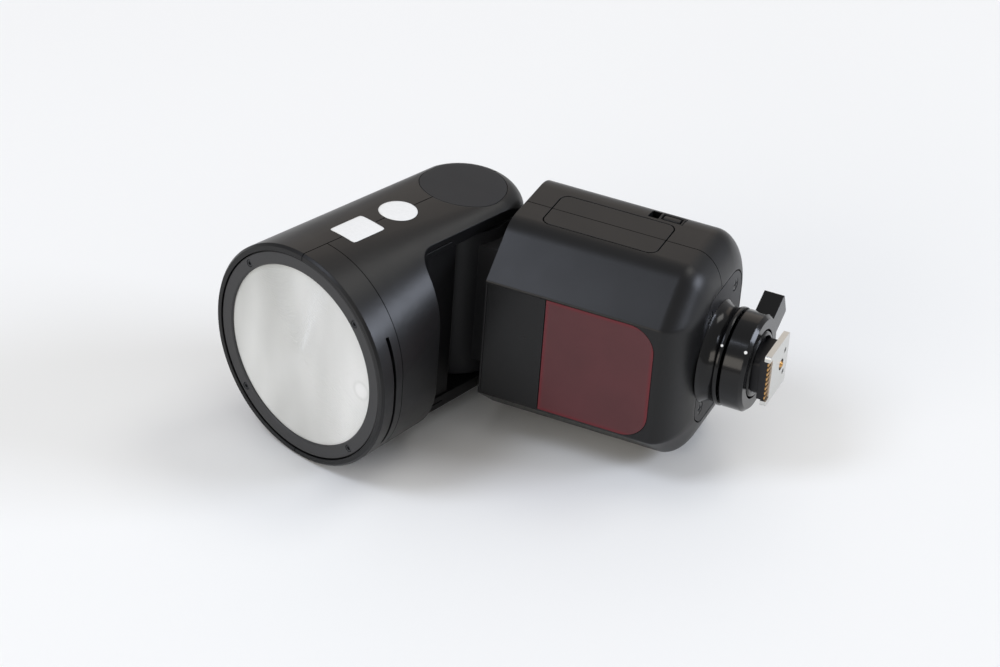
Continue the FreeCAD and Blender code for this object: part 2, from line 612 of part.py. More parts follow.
bushes = []
pins = []
pocket_floor = "cheek_height / 2 - cap_thick - pivot_pocket"
for side in (-1, 1):
    tag = "upper" if side > 0 else "lower"
    bushes.append(turned(f"tilt_bush_{tag}", [
        ("pivot_diameter / 2 + running_gap", f"{side} * (fork_gap / 2 + 0.1)"),
        ("bush_diameter / 2 - 0.02", f"{side} * (fork_gap / 2 + 0.1)"),
        ("bush_diameter / 2 - 0.02", f"{side} * ({pocket_floor})"),
        ("pivot_diameter / 2 + running_gap", f"{side} * ({pocket_floor})")],
        axis="V_Axis", role="XZ_Plane"))
    pins.append(turned(f"pivot_pin_{tag}", [
        ("0", f"{side} * (fork_gap / 2 - drum_gap - pivot_depth)"),
        ("pivot_diameter / 2", f"{side} * (fork_gap / 2 - drum_gap - pivot_depth)"),
        ("pivot_diameter / 2", f"{side} * ({pocket_floor} + 0.1)"),
        ("pivot_head_diameter / 2", f"{side} * ({pocket_floor} + 0.1)"),
        ("pivot_head_diameter / 2", f"{side} * ({pocket_floor} + 0.1 + pivot_head_thick)"),
        ("0", f"{side} * ({pocket_floor} + 0.1 + pivot_head_thick)")],
        axis="V_Axis", role="XZ_Plane"))
in_head(group("tilt_bush_pair", bushes), "tilt_bushes")
in_body(group("pivot_pin_pair", pins), "tilt_pivots")

ball = doc.addObject("Part::Sphere", "detent_ball_sphere")
ball.setExpression("Radius", "sizes.detent_ball_diameter / 2")
ball_up = "fork_gap / 2 - drum_gap + 0.05 + detent_ball_diameter / 2"
for letter, text in zip("xyz", named("-detent_circle * cos(45)", "-detent_circle * sin(45)", ball_up)):
    ball.setExpression(f"Placement.Base.{letter}", text)
in_head(group("detent_ball_piece", [ball]), "detent_ball")

disc = rod("detent_blank", "z", "detent_disc_diameter",
           "fork_gap / 2 - drum_gap - detent_disc_thick", "fork_gap / 2 - drum_gap", ("0", "0"))
notches = [rod("detent_bore", "z", "pivot_diameter + 0.06", "0", "fork_gap / 2", ("0", "0"))]
for number in range(int(360 / size("detent_step"))):
    turn = f"{number} * detent_step"
    notches.append(rod(f"detent_notch_{number}", "z", "detent_hole_diameter", "0", "fork_gap / 2",
                       (f"detent_circle * cos({turn})", f"detent_circle * sin({turn})")))
in_body(minus("detent_plate", disc, notches), "detent_disc")

# Neck: a drum between the cheeks, a tongue and a swivel flange, in two moulded halves

body_start = size("body_start")
flange_face = "body_start - swivel_gap"
neck_low = "fork_gap / 2 - drum_gap"
for side, label in ((-1, "neck_front_shell"), (1, "neck_rear_shell")):
    drum = rod(label + "_drum", "z", "drum_diameter", f"-({neck_low})",
               f"{neck_low} - detent_disc_thick", ("0", "0"))
    tongue = block(label + "_tongue", ("0", "-tongue_thick / 2", "-tongue_width / 2"),
                   (f"{flange_face} - 1", "tongue_thick / 2", "tongue_width / 2"))
    flange = rod(label + "_flange", "x", "neck_flange_diameter",
                 f"{flange_face} - neck_flange_thick", flange_face, ("0", "0"))
    whole = joined(label + "_whole", [drum, tongue, flange])
    low_y, high_y = ("-60", "0") if side < 0 else ("0", "60")
    away = block(label + "_other_half", ("-40", "0" if side < 0 else "-60", "-60"),
                 ("60", "60" if side < 0 else "0", "60"))
    tunnel = rod(label + "_tunnel", "x", "swivel_tube_bore", "4", "body_start", ("0", "0"))
    pocket = rod(label + "_pocket", "x", "swivel_tube_collar + 0.04", "body_start - 3.2",
                 "body_start - 1.9", ("0", "0"))
    neck_hole = rod(label + "_tube_hole", "x", "swivel_tube_diameter + 0.04",
                    "body_start - 2", "body_start", ("0", "0"))
    pin_hole = rod(label + "_pin_hole", "z", "pivot_diameter + 0.02", "-fork_gap / 2",
                   "fork_gap / 2", ("0", "0"))
    in_body(minus(label + "_piece", whole, [away, tunnel, pocket, neck_hole, pin_hole]), label)

in_body(turned("swivel_tube_turned", [
    ("body_start - 3.15", "swivel_tube_bore / 2"), ("body_start - 3.15", "swivel_tube_collar / 2"),
    ("body_start - 1.95", "swivel_tube_collar / 2"),
    ("body_start - 1.95", "swivel_tube_diameter / 2"), ("swivel_tube_end", "swivel_tube_diameter / 2"),
    ("swivel_tube_end", "swivel_tube_bore / 2")]), "swivel_tube")
bush_under = "body_start + body_wall + 0.1"
retainer_start = f"{bush_under} + bush_flange_thick + stack_gap"
in_body(turned("retainer_turned", [
    (retainer_start, "swivel_tube_diameter / 2 + 0.02"), (retainer_start, "retainer_diameter / 2"),
    (f"{retainer_start} + retainer_thick", "retainer_diameter / 2"),
    (f"{retainer_start} + retainer_thick", "swivel_tube_diameter / 2 + 0.02")]), "swivel_retainer")
in_body(turned("swivel_bush_turned", [
    ("body_start + 0.1", "swivel_tube_diameter / 2 + running_gap"),
    ("body_start + 0.1", "swivel_bush_diameter / 2"), (bush_under, "swivel_bush_diameter / 2"),
    (bush_under, "bush_flange_diameter / 2"),
    (f"{bush_under} + bush_flange_thick", "bush_flange_diameter / 2"),
    (f"{bush_under} + bush_flange_thick", "swivel_tube_diameter / 2 + running_gap")]), "swivel_bush")


# Body housing: two moulded halves that meet at the plane of the battery's middle

body_half = size("body_width") / 2
body_front = size("body_front")
body_back = size("body_back")
shoulder_start = size("shoulder_start")
shoulder_length = size("shoulder_length")
shoulder_end = size("plate_face")


def rounded_wire(x, corners):
    """A closed outline across the body from corners (y, z, radius) given in turn."""
    edges = []
    ends = []
    for i, (y, z, radius) in enumerate(corners):
        spot = Vector(x, y, z)
        before = Vector(x, *corners[i - 1][:2]) - spot
        after = Vector(x, *corners[(i + 1) % len(corners)][:2]) - spot
        before.normalize()
        after.normalize()
        half_turn = before.getAngle(after) / 2
        reach = radius / math.tan(half_turn)
        inward = (before + after).normalize()
        centre = spot + inward * (radius / math.sin(half_turn))
        edges.append(Part.Arc(spot + before * reach, centre - inward * radius,
                              spot + after * reach).toShape())
        ends.append((spot + before * reach, spot + after * reach))
    for before, after in zip(ends, ends[1:] + ends[:1]):
        edges.append(Part.makeLine(before[1], after[0]))
    return Part.Wire(Part.__sortEdges__(edges))


def body_section(x, inset, front_inset, back_inset, shrink):
    """The housing's outline at x; shrink goes from 0 up to nearly 1 over the shoulder."""
    turn = math.radians(size("slant_angle"))
    half = body_half - inset - size("shoulder_side") * shrink
    front = body_front - front_inset - size("shoulder_front") * shrink
    back = body_back - back_inset - size("shoulder_back") * shrink
    slant = (body_front * math.sin(turn) + size("crease_place") * math.cos(turn)
             - inset - size("shoulder_slant") * shrink)
    crease_z = (slant - front * math.sin(turn)) / math.cos(turn)
    corner_y = (half * math.cos(turn) - slant) / math.sin(turn)
    crease = size("crease_radius") + 6 * shrink
    corner = size("side_corner") - inset - 4 * shrink
    rear = min(size("back_corner"), body_half - size("back_flat")) - inset - 5 * shrink
    upper = [(-front, crease_z, crease), (corner_y, half, corner), (back, half, rear)]
    lower = [(y, -z, radius) for y, z, radius in reversed(upper)]
    return rounded_wire(x, upper + lower)


def body_form(inset, front_inset, back_inset, start, end_inset):
    """The housing's form moved in by its wall, with the rounded shoulder at the foot."""
    sections = []
    steps = 4
    for i in range(steps + 1):
        turn = math.radians(size("shoulder_sweep") * i / steps)
        sections.append(body_section(shoulder_start + (shoulder_length - end_inset) * math.sin(turn),
                                     inset, front_inset, back_inset, 1 - math.cos(turn)))
    straight = Part.Face(body_section(start, inset, front_inset, back_inset, 0)).extrude(
        Vector(shoulder_start - start, 0, 0))
    return straight.fuse(Part.makeLoft(sections, True, False)).removeSplitter()


def span(x_low, x_high, y_low, y_high, z_low, z_high):
    return Part.makeBox(x_high - x_low, y_high - y_low, z_high - z_low, Vector(x_low, y_low, z_low))


def rounded_hole(x_low, x_high, b_low, b_high, corner, low, high, along="z"):
    """A hole with rounded corners through a side wall (z) or through the front or back (y)."""
    box = (span(x_low, x_high, b_low, b_high, low, high) if along == "z"
           else span(x_low, x_high, low, high, b_low, b_high))
    way = Vector(0, 0, 1) if along == "z" else Vector(0, 1, 0)
    upright = [e for e in box.Edges if abs(e.tangentAt(e.FirstParameter).dot(way)) > 0.999]
    return box.makeFillet(corner, upright) if corner else box


plate_outer = shoulder_end
plate_inner = plate_outer - size("base_plate_thick")
end_wall = plate_inner - size("seat_gap") - size("body_wall")
outer_body = body_form(0, 0, 0, body_start, 0)
inner_body = body_form(size("body_wall"), size("front_wall"), size("back_wall"),
                       body_start + size("body_wall"), 0).common(
                           span(0, end_wall, -60, 60, -60, 60))
end_section = body_section(0, 0, 0, 0, 1 - math.cos(math.radians(size("shoulder_sweep"))))
battery_half = size("battery_length") / 2
battery_low = size("battery_middle") - battery_half
battery_high = size("battery_middle") + battery_half
battery_side = size("battery_thick") / 2
panel_low = body_start + size("panel_start")
window_low = panel_low + size("panel_length") + size("panel_gap")
window_high = window_low + size("window_length")
panel_seat = body_front - size("panel_thick")
key_hole = size("button_gap")
board_back = size("board_front") + size("board_thick")
cavity_back = body_back - size("back_wall")
function_levels = [size("function_pitch") * (i - 1.5) for i in range(4)]
latch_high = size("latch_foot_side")
latch_low = latch_high - size("latch_length")
side_keys = [("mode_button", "side_key_near", 1), ("wireless_button", "side_key_near", -1),
             ("test_button", "side_key_far", 1)]


def y_bore(diameter, x, z, low, high):
    return Part.makeCylinder(diameter / 2, high - low, Vector(x, low, z), Vector(0, 1, 0))


def plate_blank(margin, low, high):
    """The base plate's outline at the foot end, moved in by margin."""
    face = Part.Face(end_section.makeOffset2D(-margin))
    return face.extrude(Vector(high - low, 0, 0)).translated(Vector(low, 0, 0))


def shared_openings():
    gap = size("battery_gap")
    return [inner_body,
            rounded_hole(battery_low - gap, battery_high + gap, -battery_side - gap,
                         battery_side + gap, size("battery_corner") + gap, 10, 60),
            Part.makeCylinder(size("swivel_bush_diameter") / 2 + 0.02, 10,
                              Vector(body_start - 5, 0, 0), Vector(1, 0, 0)),
            plate_blank(size("base_plate_margin") - size("seat_gap"), plate_inner - size("seat_gap"),
                        plate_outer + 5),
            Part.makeCylinder(size("stem_diameter") / 2, 30, Vector(end_wall - 5, 0, 0),
                              Vector(1, 0, 0))]


def base_screw_bores(diameter, low, high):
    return [Part.makeCylinder(diameter / 2, high - low,
                              Vector(low, place_y, way_z * size("base_screw_z")), Vector(1, 0, 0))
            for place_y in (-size("base_screw_front"), size("base_screw_back"))
            for way_z in (-1, 1)]


def front_shell():
    half = size("panel_half_width")
    gap = size("panel_gap") / 2
    middle = (window_low + window_high) / 2
    recess = span(panel_low - gap, window_high + gap, -60, -panel_seat, -half - gap, half + gap)
    corner = [e for e in recess.Edges if abs(e.tangentAt(e.FirstParameter).y) > 0.999
              and e.CenterOfMass.x > middle]
    recess = recess.makeFillet(size("window_corner") + gap, corner)
    view = rounded_hole(middle - size("window_opening_length") / 2,
                        middle + size("window_opening_length") / 2,
                        -size("window_opening_width") / 2, size("window_opening_width") / 2,
                        3, -60, 0, along="y")
    shell = outer_body.common(span(0, 120, -60, 0, -60, 60)).cut(shared_openings() + [recess, view])
    shell = shell.cut(base_screw_bores(size("base_screw_diameter"), end_wall - 3, plate_outer))
    board_level = -body_front + size("front_wall") + 2
    posts = []
    for x in (middle - size("window_opening_length") / 2 - 3,
              middle + size("window_opening_length") / 2 + 1):
        posts.append(span(x, x + 2, -body_front + size("front_wall") - 0.5, board_level,
                          -size("window_opening_width") / 2, size("window_opening_width") / 2))
    return shell.fuse(posts).removeSplitter()


def rear_shell():
    glass_low = body_start + size("glass_start")
    glass_high = glass_low + size("glass_length")
    lip = size("glass_lip")
    wide = size("glass_width") / 2
    seat_level = body_back - size("glass_thick") - 0.05
    tools = [rounded_hole(glass_low - 0.15, glass_high + 0.15, -wide - 0.15, wide + 0.15, 2,
                          seat_level, 60, along="y"),
             rounded_hole(glass_low + lip, glass_high - lip, -wide + lip, wide - lip, 1, 10, 60,
                          along="y")]
    for level in function_levels:
        along = size("function_length") / 2 + key_hole
        across = size("function_width") / 2 + key_hole
        tools.append(rounded_hole(size("function_row") - along, size("function_row") + along,
                                  level - across, level + across, 1, 20, 60, along="y"))
    for label, place, way in side_keys:
        tools.append(y_bore(size("round_key_diameter") + 2 * key_hole, size(place),
                            way * size("side_key_reach"), 20, 60))
    travel = size("switch_travel")
    switch_x = size("side_key_far")
    tools.append(span(switch_x - 1.5 - travel / 2 - 0.3, switch_x + 1.5 + travel / 2 + 0.3,
                      20, 60, -size("side_key_reach") - 2.3, -size("side_key_reach") + 2.3))
    dial_x = size("dial_place")
    tools.append(y_bore(size("dial_diameter") + 0.6, dial_x, 0, body_back - size("dial_seat_depth"), 60))
    tools.append(y_bore(size("dial_hub_diameter") + 0.6, dial_x, 0, 20, 60))
    edge = size("latch_edge")
    tools.append(span(latch_low - size("latch_travel") - 0.3, latch_high + 0.3, edge - 0.3,
                      edge + size("latch_width") + 0.3, 20, 60))
    row = size("socket_row")
    usb = size("usb_length") / 2 + 0.1
    usb_high = size("usb_height") / 2 + 0.1
    tools.append(span(size("usb_place") - usb, size("usb_place") + usb, row - usb_high,
                      row + usb_high, -60, -20))
    cover = size("cover_length") / 2
    tools.append(span(size("usb_place") - cover - 0.15, size("usb_place") + cover + 0.15,
                      row - size("cover_width") / 2 - 0.15, row + size("cover_width") / 2 + 0.15,
                      -60, -body_half + size("cover_thick")))
    tools.append(Part.makeCylinder(size("sync_diameter") / 2 + 0.1, 40,
                                   Vector(size("sync_place"), row, -60), up))
    shell = outer_body.common(span(0, 120, 0, 60, -60, 60)).cut(shared_openings() + tools)
    shell = shell.cut(base_screw_bores(size("base_screw_diameter"), end_wall - 3, plate_outer))
    posts = []
    for x in (size("board_start") + 1.6, size("board_end") - 2.6):
        for way in (-1, 1):
            posts.append(y_bore(3, x, way * (size("board_half_width") - 2), board_back,
                                cavity_back + 0.1))
    return shell.fuse(posts).removeSplitter()


shaped("front_shell", front_shell())
shaped("rear_shell", rear_shell())

# Front panel and window

panel_low_text = "body_start + panel_start"
window_low_text = f"{panel_low_text} + panel_length + panel_gap"
window_high_text = f"{window_low_text} + window_length"
in_body(prism("front_panel_body", "YZ_Plane",
              rectangle("-body_front", "-(body_front - panel_thick)", "-panel_half_width",
                        "panel_half_width"), "panel_length", offset=panel_low_text), "front_panel")
window_blank = block("window_blank", (window_low_text, "-body_front", "-panel_half_width"),
                     (window_high_text, "-(body_front - panel_thick)", "panel_half_width"))
window_trims = []
for number, way in enumerate((-1, 1), start=1):
    corner_box = block(f"window_corner_box_{number}",
                       (f"{window_high_text} - window_corner", "-body_front - 1",
                        f"{way} * panel_half_width - window_corner * {(1 + way) / 2}"),
                       (f"{window_high_text} + 1", "0",
                        f"{way} * panel_half_width + window_corner * {(1 - way) / 2}"))
    round_piece = rod(f"window_corner_round_{number}", "y", "2 * window_corner", "-body_front - 2",
                      "1", (f"{window_high_text} - window_corner",
                            f"{way} * (panel_half_width - window_corner)"))
    window_trims.append(minus(f"window_trim_{number}", corner_box, [round_piece]))
in_body(minus("window_plate", window_blank, window_trims), "red_window")

window_middle_text = f"({window_low_text} + window_length / 2)"
front_board_level = "-(body_front - front_wall - 2)"
in_body(group("front_board_piece", [block("front_board_plate", (
    f"{window_middle_text} - window_opening_length / 2 - 4", front_board_level,
    "-window_opening_width / 2"), (
    f"{window_middle_text} + window_opening_length / 2 + 4",
    f"{front_board_level} + front_board_thick", "window_opening_width / 2"))]), "front_board")
lamp_barrel = rod("focus_barrel", "y", "focus_lamp_diameter", "-(body_front - front_wall + 0.4)",
                  front_board_level, (window_middle_text, "0"))
lamp_sensor = rod("focus_sensor", "y", "focus_lamp_diameter / 2", "-(body_front - front_wall)",
                  front_board_level, (f"{window_middle_text} - focus_lamp_diameter", "0"))
in_body(group("focus_lamp_pair", [lamp_barrel, lamp_sensor]), "focus_lamps")


# Battery, its chamber and its contacts

case_low = "battery_middle - battery_length / 2"
case_high = "battery_middle + battery_length / 2"
case_blank = prism("battery_blank", "XY_Plane",
                   rectangle(case_low, case_high, "-battery_thick / 2", "battery_thick / 2"),
                   "body_width / 2 + battery_floor", offset="-battery_floor",
                   corner_radius="battery_corner")
cell_floor = "body_width / 2 - cell_cap - cell_height"
cells = []
wells = []
for number, way in enumerate((-1, 1), start=1):
    spot = (f"battery_middle + {way} * cell_pitch / 2", "0")
    wells.append(rod(f"cell_well_{number}", "z", "cell_diameter + 0.1", f"{cell_floor} - 0.05",
                     "body_width / 2 - cell_cap + 0.05", spot))
    cells.append(rod(f"cell_{number}", "z", "cell_diameter", cell_floor, "body_width / 2 - cell_cap",
                     spot))
contact_reach = "battery_thick / 2 - contact_reach"
contact_slot = block("contact_slot", ("battery_middle - contact_pitch - contact_width / 2 - 0.4",
                                      contact_reach + " - 0.2", "-battery_floor - 1"),
                     ("battery_middle + contact_pitch + contact_width / 2 + 0.4",
                      "battery_thick / 2 + 1", "-battery_floor + contact_height + 0.4"))
in_body(minus("battery_case_piece", case_blank, wells + [contact_slot]), "battery_case")
in_body(group("cell_pair", cells), "battery_cells")

chamber_top = "body_width / 2 - body_wall - 0.1"
chamber_side = "(battery_thick / 2 + battery_gap + chamber_wall)"
chamber_blank = prism("chamber_blank", "YZ_Plane", [
    (f"-{chamber_side}", f"-({chamber_top} - chamber_chamfer)"),
    (f"-{chamber_side} + chamber_chamfer", f"-({chamber_top})"), (chamber_side, f"-({chamber_top})"),
    (chamber_side, chamber_top), (f"-{chamber_side} + chamber_chamfer", chamber_top),
    (f"-{chamber_side}", f"{chamber_top} - chamber_chamfer")],
    "battery_length + 2 * (battery_gap + chamber_wall)",
    offset=f"{case_low} - battery_gap - chamber_wall")
chamber_room = prism("chamber_room", "XY_Plane",
                     rectangle(f"{case_low} - battery_gap", f"{case_high} + battery_gap",
                               "-battery_thick / 2 - battery_gap", "battery_thick / 2 + battery_gap"),
                     "100", offset="-battery_floor - 0.15",
                     corner_radius="battery_corner + battery_gap")
in_body(minus("chamber_piece", chamber_blank, [chamber_room]), "battery_chamber")
blades = []
for number in range(3):
    blade_middle = f"battery_middle + {number - 1} * contact_pitch"
    blades.append(block(f"contact_blade_{number + 1}",
                        (f"{blade_middle} - contact_width / 2", contact_reach, "-battery_floor + 0.05"),
                        (f"{blade_middle} + contact_width / 2", "battery_thick / 2 + battery_gap",
                         "-battery_floor + contact_height")))
in_body(group("contact_set", blades), "battery_contacts")

latch_low_text = "latch_foot_side - latch_length"
latch_pad = block("latch_pad", (latch_low_text, "latch_edge", "latch_guide_top - 0.4"),
                  ("latch_foot_side", "latch_edge + latch_width", "body_width / 2 - latch_sink"))
latch_guide = block("latch_guide", (f"{latch_low_text} - 1", "latch_edge - 0.1",
                                    "latch_guide_top - 1.4"),
                    ("latch_foot_side + 1.4", "latch_edge + latch_width + 0.8", "latch_guide_top"))
in_body(joined("latch_piece", [latch_pad, latch_guide]), "battery_latch")

# Electronics

board_back_text = "board_front + board_thick"
in_body(prism("board_plate", "XY_Plane",
              rectangle("board_start", "board_end", "board_front", board_back_text),
              "2 * board_half_width", offset="-board_half_width"), "main_board")
in_body(group("capacitor_piece", [rod(
    "capacitor_can", "z", "capacitor_diameter", "-capacitor_length / 2", "capacitor_length / 2",
    ("capacitor_place + capacitor_diameter / 2", "0"))]), "capacitor")

glass_low_text = "body_start + glass_start"
glass_high_text = f"{glass_low_text} + glass_length"
glass = prism("glass_plate", "XZ_Plane",
              rectangle(glass_low_text, glass_high_text, "-glass_width / 2", "glass_width / 2"),
              "glass_thick", offset="-body_back", corner_radius="1.8")
in_body(glass, "display_glass")
in_body(prism("display_block", "XY_Plane",
              rectangle("board_start + 0.5", f"{glass_high_text} - 0.5", board_back_text,
                        "body_back - back_wall - 0.1"), "glass_width - 3",
              offset="-(glass_width - 3) / 2"), "display_module")


# Keys, dial and switch on the back

wall_under = "body_back - back_wall"
key_floor = f"{wall_under} - 0.2 - key_flange_thick"
switch_stacks = []


def key_switch(name, x, z, across):
    """The small switch under a key, standing on the main board."""
    switch_stacks.append(block(name, (f"{x} - {across}", board_back_text, f"{z} - {across}"),
                               (f"{x} + {across}", f"{key_floor} - key_travel - 0.05",
                                f"{z} + {across}")))


for number in range(1, 5):
    level = f"function_pitch * ({number} - 2.5)"
    cap = block(f"function_cap_{number}",
                ("function_row - function_length / 2", f"{wall_under} - 0.5",
                 f"{level} - function_width / 2"),
                ("function_row + function_length / 2", "body_back + button_proud",
                 f"{level} + function_width / 2"))
    foot = block(f"function_foot_{number}",
                 ("function_row - function_length / 2 - flange_step", key_floor,
                  f"{level} - function_width / 2 - flange_step"),
                 ("function_row + function_length / 2 + flange_step", f"{wall_under} - 0.2",
                  f"{level} + function_width / 2 + flange_step"))
    in_body(joined(f"function_piece_{number}", [cap, foot]), f"function_button_{number}")
    key_switch(f"function_switch_{number}", "function_row", level, 1.8)

for label, place, way in side_keys:
    key = turned(label + "_turned", [
        ("0", f"body_back + button_proud"), ("round_key_diameter / 2 - 0.4", "body_back + button_proud"),
        ("round_key_diameter / 2", "body_back + button_proud - 0.4"),
        ("round_key_diameter / 2", f"{wall_under} - 0.2"),
        ("round_key_diameter / 2 + flange_step", f"{wall_under} - 0.2"),
        ("round_key_diameter / 2 + flange_step", key_floor), ("0", key_floor)], axis="V_Axis")
    in_body(key, label)
    key.setExpression("Placement.Base.x", named(f"{place} - pivot_to_sole")[0])
    key.setExpression("Placement.Base.z", named(f"{way} * side_key_reach")[0])
    key_switch(label + "_switch", place, f"{way} * side_key_reach", 1.8)

knob = block("switch_knob", ("side_key_far - switch_travel / 2 - 1.5", f"{wall_under} - 0.5",
                             "-side_key_reach - 2"),
             ("side_key_far - switch_travel / 2 + 1.5", "body_back + button_proud",
              "-side_key_reach + 2"))
slider = block("switch_slider", ("side_key_far - switch_travel / 2 - 2.2", key_floor,
                                 "-side_key_reach - 2.7"),
               ("side_key_far - switch_travel / 2 + 2.2", f"{wall_under} - 0.2",
                "-side_key_reach + 2.7"))
in_body(joined("switch_piece", [knob, slider]), "power_switch")
switch_stacks.append(block("switch_housing", ("side_key_far - 3.5", board_back_text,
                                              "-side_key_reach - 2.5"),
                           ("side_key_far + 3.5", f"{key_floor} - 0.1", "-side_key_reach + 2.5")))

dial_blank = turned("dial_ring", [
    ("dial_bore / 2", "body_back + dial_proud - 0.3"), ("dial_bore / 2 + 0.3", "body_back + dial_proud"),
    ("dial_diameter / 2 - 0.5", "body_back + dial_proud"),
    ("dial_diameter / 2", "body_back + dial_proud - 0.5"),
    ("dial_diameter / 2", "body_back - dial_seat_depth + 0.2"),
    ("dial_hub_diameter / 2", "body_back - dial_seat_depth + 0.2"),
    ("dial_hub_diameter / 2", f"{wall_under} - 2.6"), ("dial_bore / 2", f"{wall_under} - 2.6")],
    axis="V_Axis")
grooves = []
for number in range(int(size("dial_ribs"))):
    turn = f"{number} * 360 / dial_ribs"
    grooves.append(rod(f"dial_groove_{number}", "y", "0.9", "body_back - 0.4",
                       "body_back + dial_proud + 1", (f"(dial_diameter / 2 + 0.1) * cos({turn})",
                                                      f"(dial_diameter / 2 + 0.1) * sin({turn})")))
dial = minus("dial_piece", dial_blank, grooves)
in_body(dial, "control_dial")
dial.setExpression("Placement.Base.x", named("dial_place - pivot_to_sole")[0])
centre_key = turned("set_key", [
    ("0", "body_back + set_button_proud"), ("set_button_diameter / 2 - 0.5", "body_back + set_button_proud"),
    ("set_button_diameter / 2", "body_back + set_button_proud - 0.5"),
    ("set_button_diameter / 2", key_floor), ("0", key_floor)], axis="V_Axis")
in_body(centre_key, "set_button")
centre_key.setExpression("Placement.Base.x", named("dial_place - pivot_to_sole")[0])
encoder_ring = turned("encoder_body", [
    ("0", board_back_text), ("dial_hub_diameter / 2 + 0.4", board_back_text),
    ("dial_hub_diameter / 2 + 0.4", f"{wall_under} - 2.8"),
    ("dial_bore / 2 - 0.2", f"{wall_under} - 2.8"),
    ("dial_bore / 2 - 0.2", f"{key_floor} - key_travel - 0.05"),
    ("0", f"{key_floor} - key_travel - 0.05")], axis="V_Axis")
in_body(encoder_ring, "dial_encoder")
encoder_ring.setExpression("Placement.Base.x", named("dial_place - pivot_to_sole")[0])
in_body(group("key_switch_set", switch_stacks), "key_switches")

# Sockets and their cover

side_face = "-body_width / 2"
usb_shell = block("usb_shell", ("usb_place - usb_length / 2", "socket_row - usb_height / 2",
                                f"{side_face} + cover_thick + 0.2"),
                  ("usb_place + usb_length / 2", "socket_row + usb_height / 2", f"{side_face} + 9"))
usb_foot = block("usb_foot", ("usb_place - usb_length / 2", "socket_row + usb_height / 2 - 0.1",
                              f"{side_face} + 5"),
                 ("usb_place + usb_length / 2", "board_front", f"{side_face} + 9"))
usb_mouth = block("usb_mouth", ("usb_place - usb_opening_length / 2",
                                "socket_row - usb_opening_width / 2", f"{side_face} - 1"),
                  ("usb_place + usb_opening_length / 2", "socket_row + usb_opening_width / 2",
                   f"{side_face} + 7.5"))
usb_tongue = block("usb_tongue", ("usb_place - usb_opening_length / 2 + 0.9",
                                  "socket_row - 0.35", f"{side_face} + 2.8"),
                   ("usb_place + usb_opening_length / 2 - 0.9", "socket_row + 0.35",
                    f"{side_face} + 8"))
in_body(joined("usb_piece", [minus("usb_hollow", usb_shell, [usb_mouth]), usb_tongue, usb_foot]),
        "usb_socket")
jack_barrel = rod("jack_barrel", "z", "sync_diameter", f"{side_face} + sync_sink",
                  f"{side_face} + sync_sink + sync_depth + 1.5",
                  ("sync_place", "socket_row"))
jack_bore = rod("jack_bore", "z", "sync_bore", f"{side_face} - 1",
                f"{side_face} + sync_sink + sync_depth",
                ("sync_place", "socket_row"))
in_body(minus("jack_piece", jack_barrel, [jack_bore]), "sync_socket")
cover_reach = size("cover_length") / 2
cover_side = size("cover_width") / 2
flap = rounded_hole(size("usb_place") - cover_reach, size("usb_place") + cover_reach,
                    size("socket_row") - cover_side, size("socket_row") + cover_side, 0.8,
                    -60, -body_half + size("cover_thick") - 0.1)
shaped("port_cover", flap.common(outer_body))

# Foot end: base plate, collar, lock ring and shoe foot, stacked along the foot's axis

screw_bores = base_screw_bores(size("base_screw_diameter") + 0.1, plate_inner - 1, plate_outer + 1)
head_sinks = base_screw_bores(size("base_screw_diameter") + 1.9, plate_outer - 1.4, plate_outer + 1)
stem_hole = Part.makeCylinder(size("stem_diameter") / 2 - 2, 20, Vector(plate_inner - 5, 0, 0),
                              Vector(1, 0, 0))
shaped("base_plate", plate_blank(size("base_plate_margin"), plate_inner, plate_outer).cut(
    screw_bores + head_sinks + [stem_hole]))
face_text = "plate_face"
base_screws = []
base_screw_places = [(place_y, f"{way_z} * base_screw_z")
                     for place_y in ("-base_screw_front", "base_screw_back") for way_z in (-1, 1)]
for number, spot in enumerate(base_screw_places, start=1):
    base_screws.append(joined(f"base_screw_{number}", [
        rod(f"base_screw_head_{number}", "x", "base_screw_diameter + 1.6", f"{face_text} - 1.35",
            f"{face_text} - 0.1", spot),
        rod(f"base_screw_shank_{number}", "x", "base_screw_diameter - 0.1", f"{face_text} - 7",
            f"{face_text} - 1.3", spot)]))
in_body(group("base_screw_set", base_screws), "base_screws")

collar_face = f"({face_text} + collar_thick)"
ring_low = f"({collar_face} + ring_gap)"
ring_high = f"({ring_low} + ring_length)"
stem_end = f"({ring_low} + ring_web + stack_gap)"
in_body(turned("collar_turned", [
    (face_text, "stem_diameter / 2 - 3"), (face_text, "collar_diameter / 2"),
    (f"{face_text} + collar_thick * 0.3", "collar_diameter / 2"),
    (f"{face_text} + collar_thick * 0.7", "collar_top_diameter / 2 + 0.3"),
    (collar_face, "collar_top_diameter / 2"), (collar_face, "stem_diameter / 2 + collar_land"),
    (f"{collar_face} + ring_gap - 0.1", "stem_diameter / 2 + collar_land"),
    (f"{collar_face} + ring_gap - 0.1", "stem_diameter / 2"), (stem_end, "stem_diameter / 2"),
    (stem_end, "stem_diameter / 2 - 3")]), "base_collar")

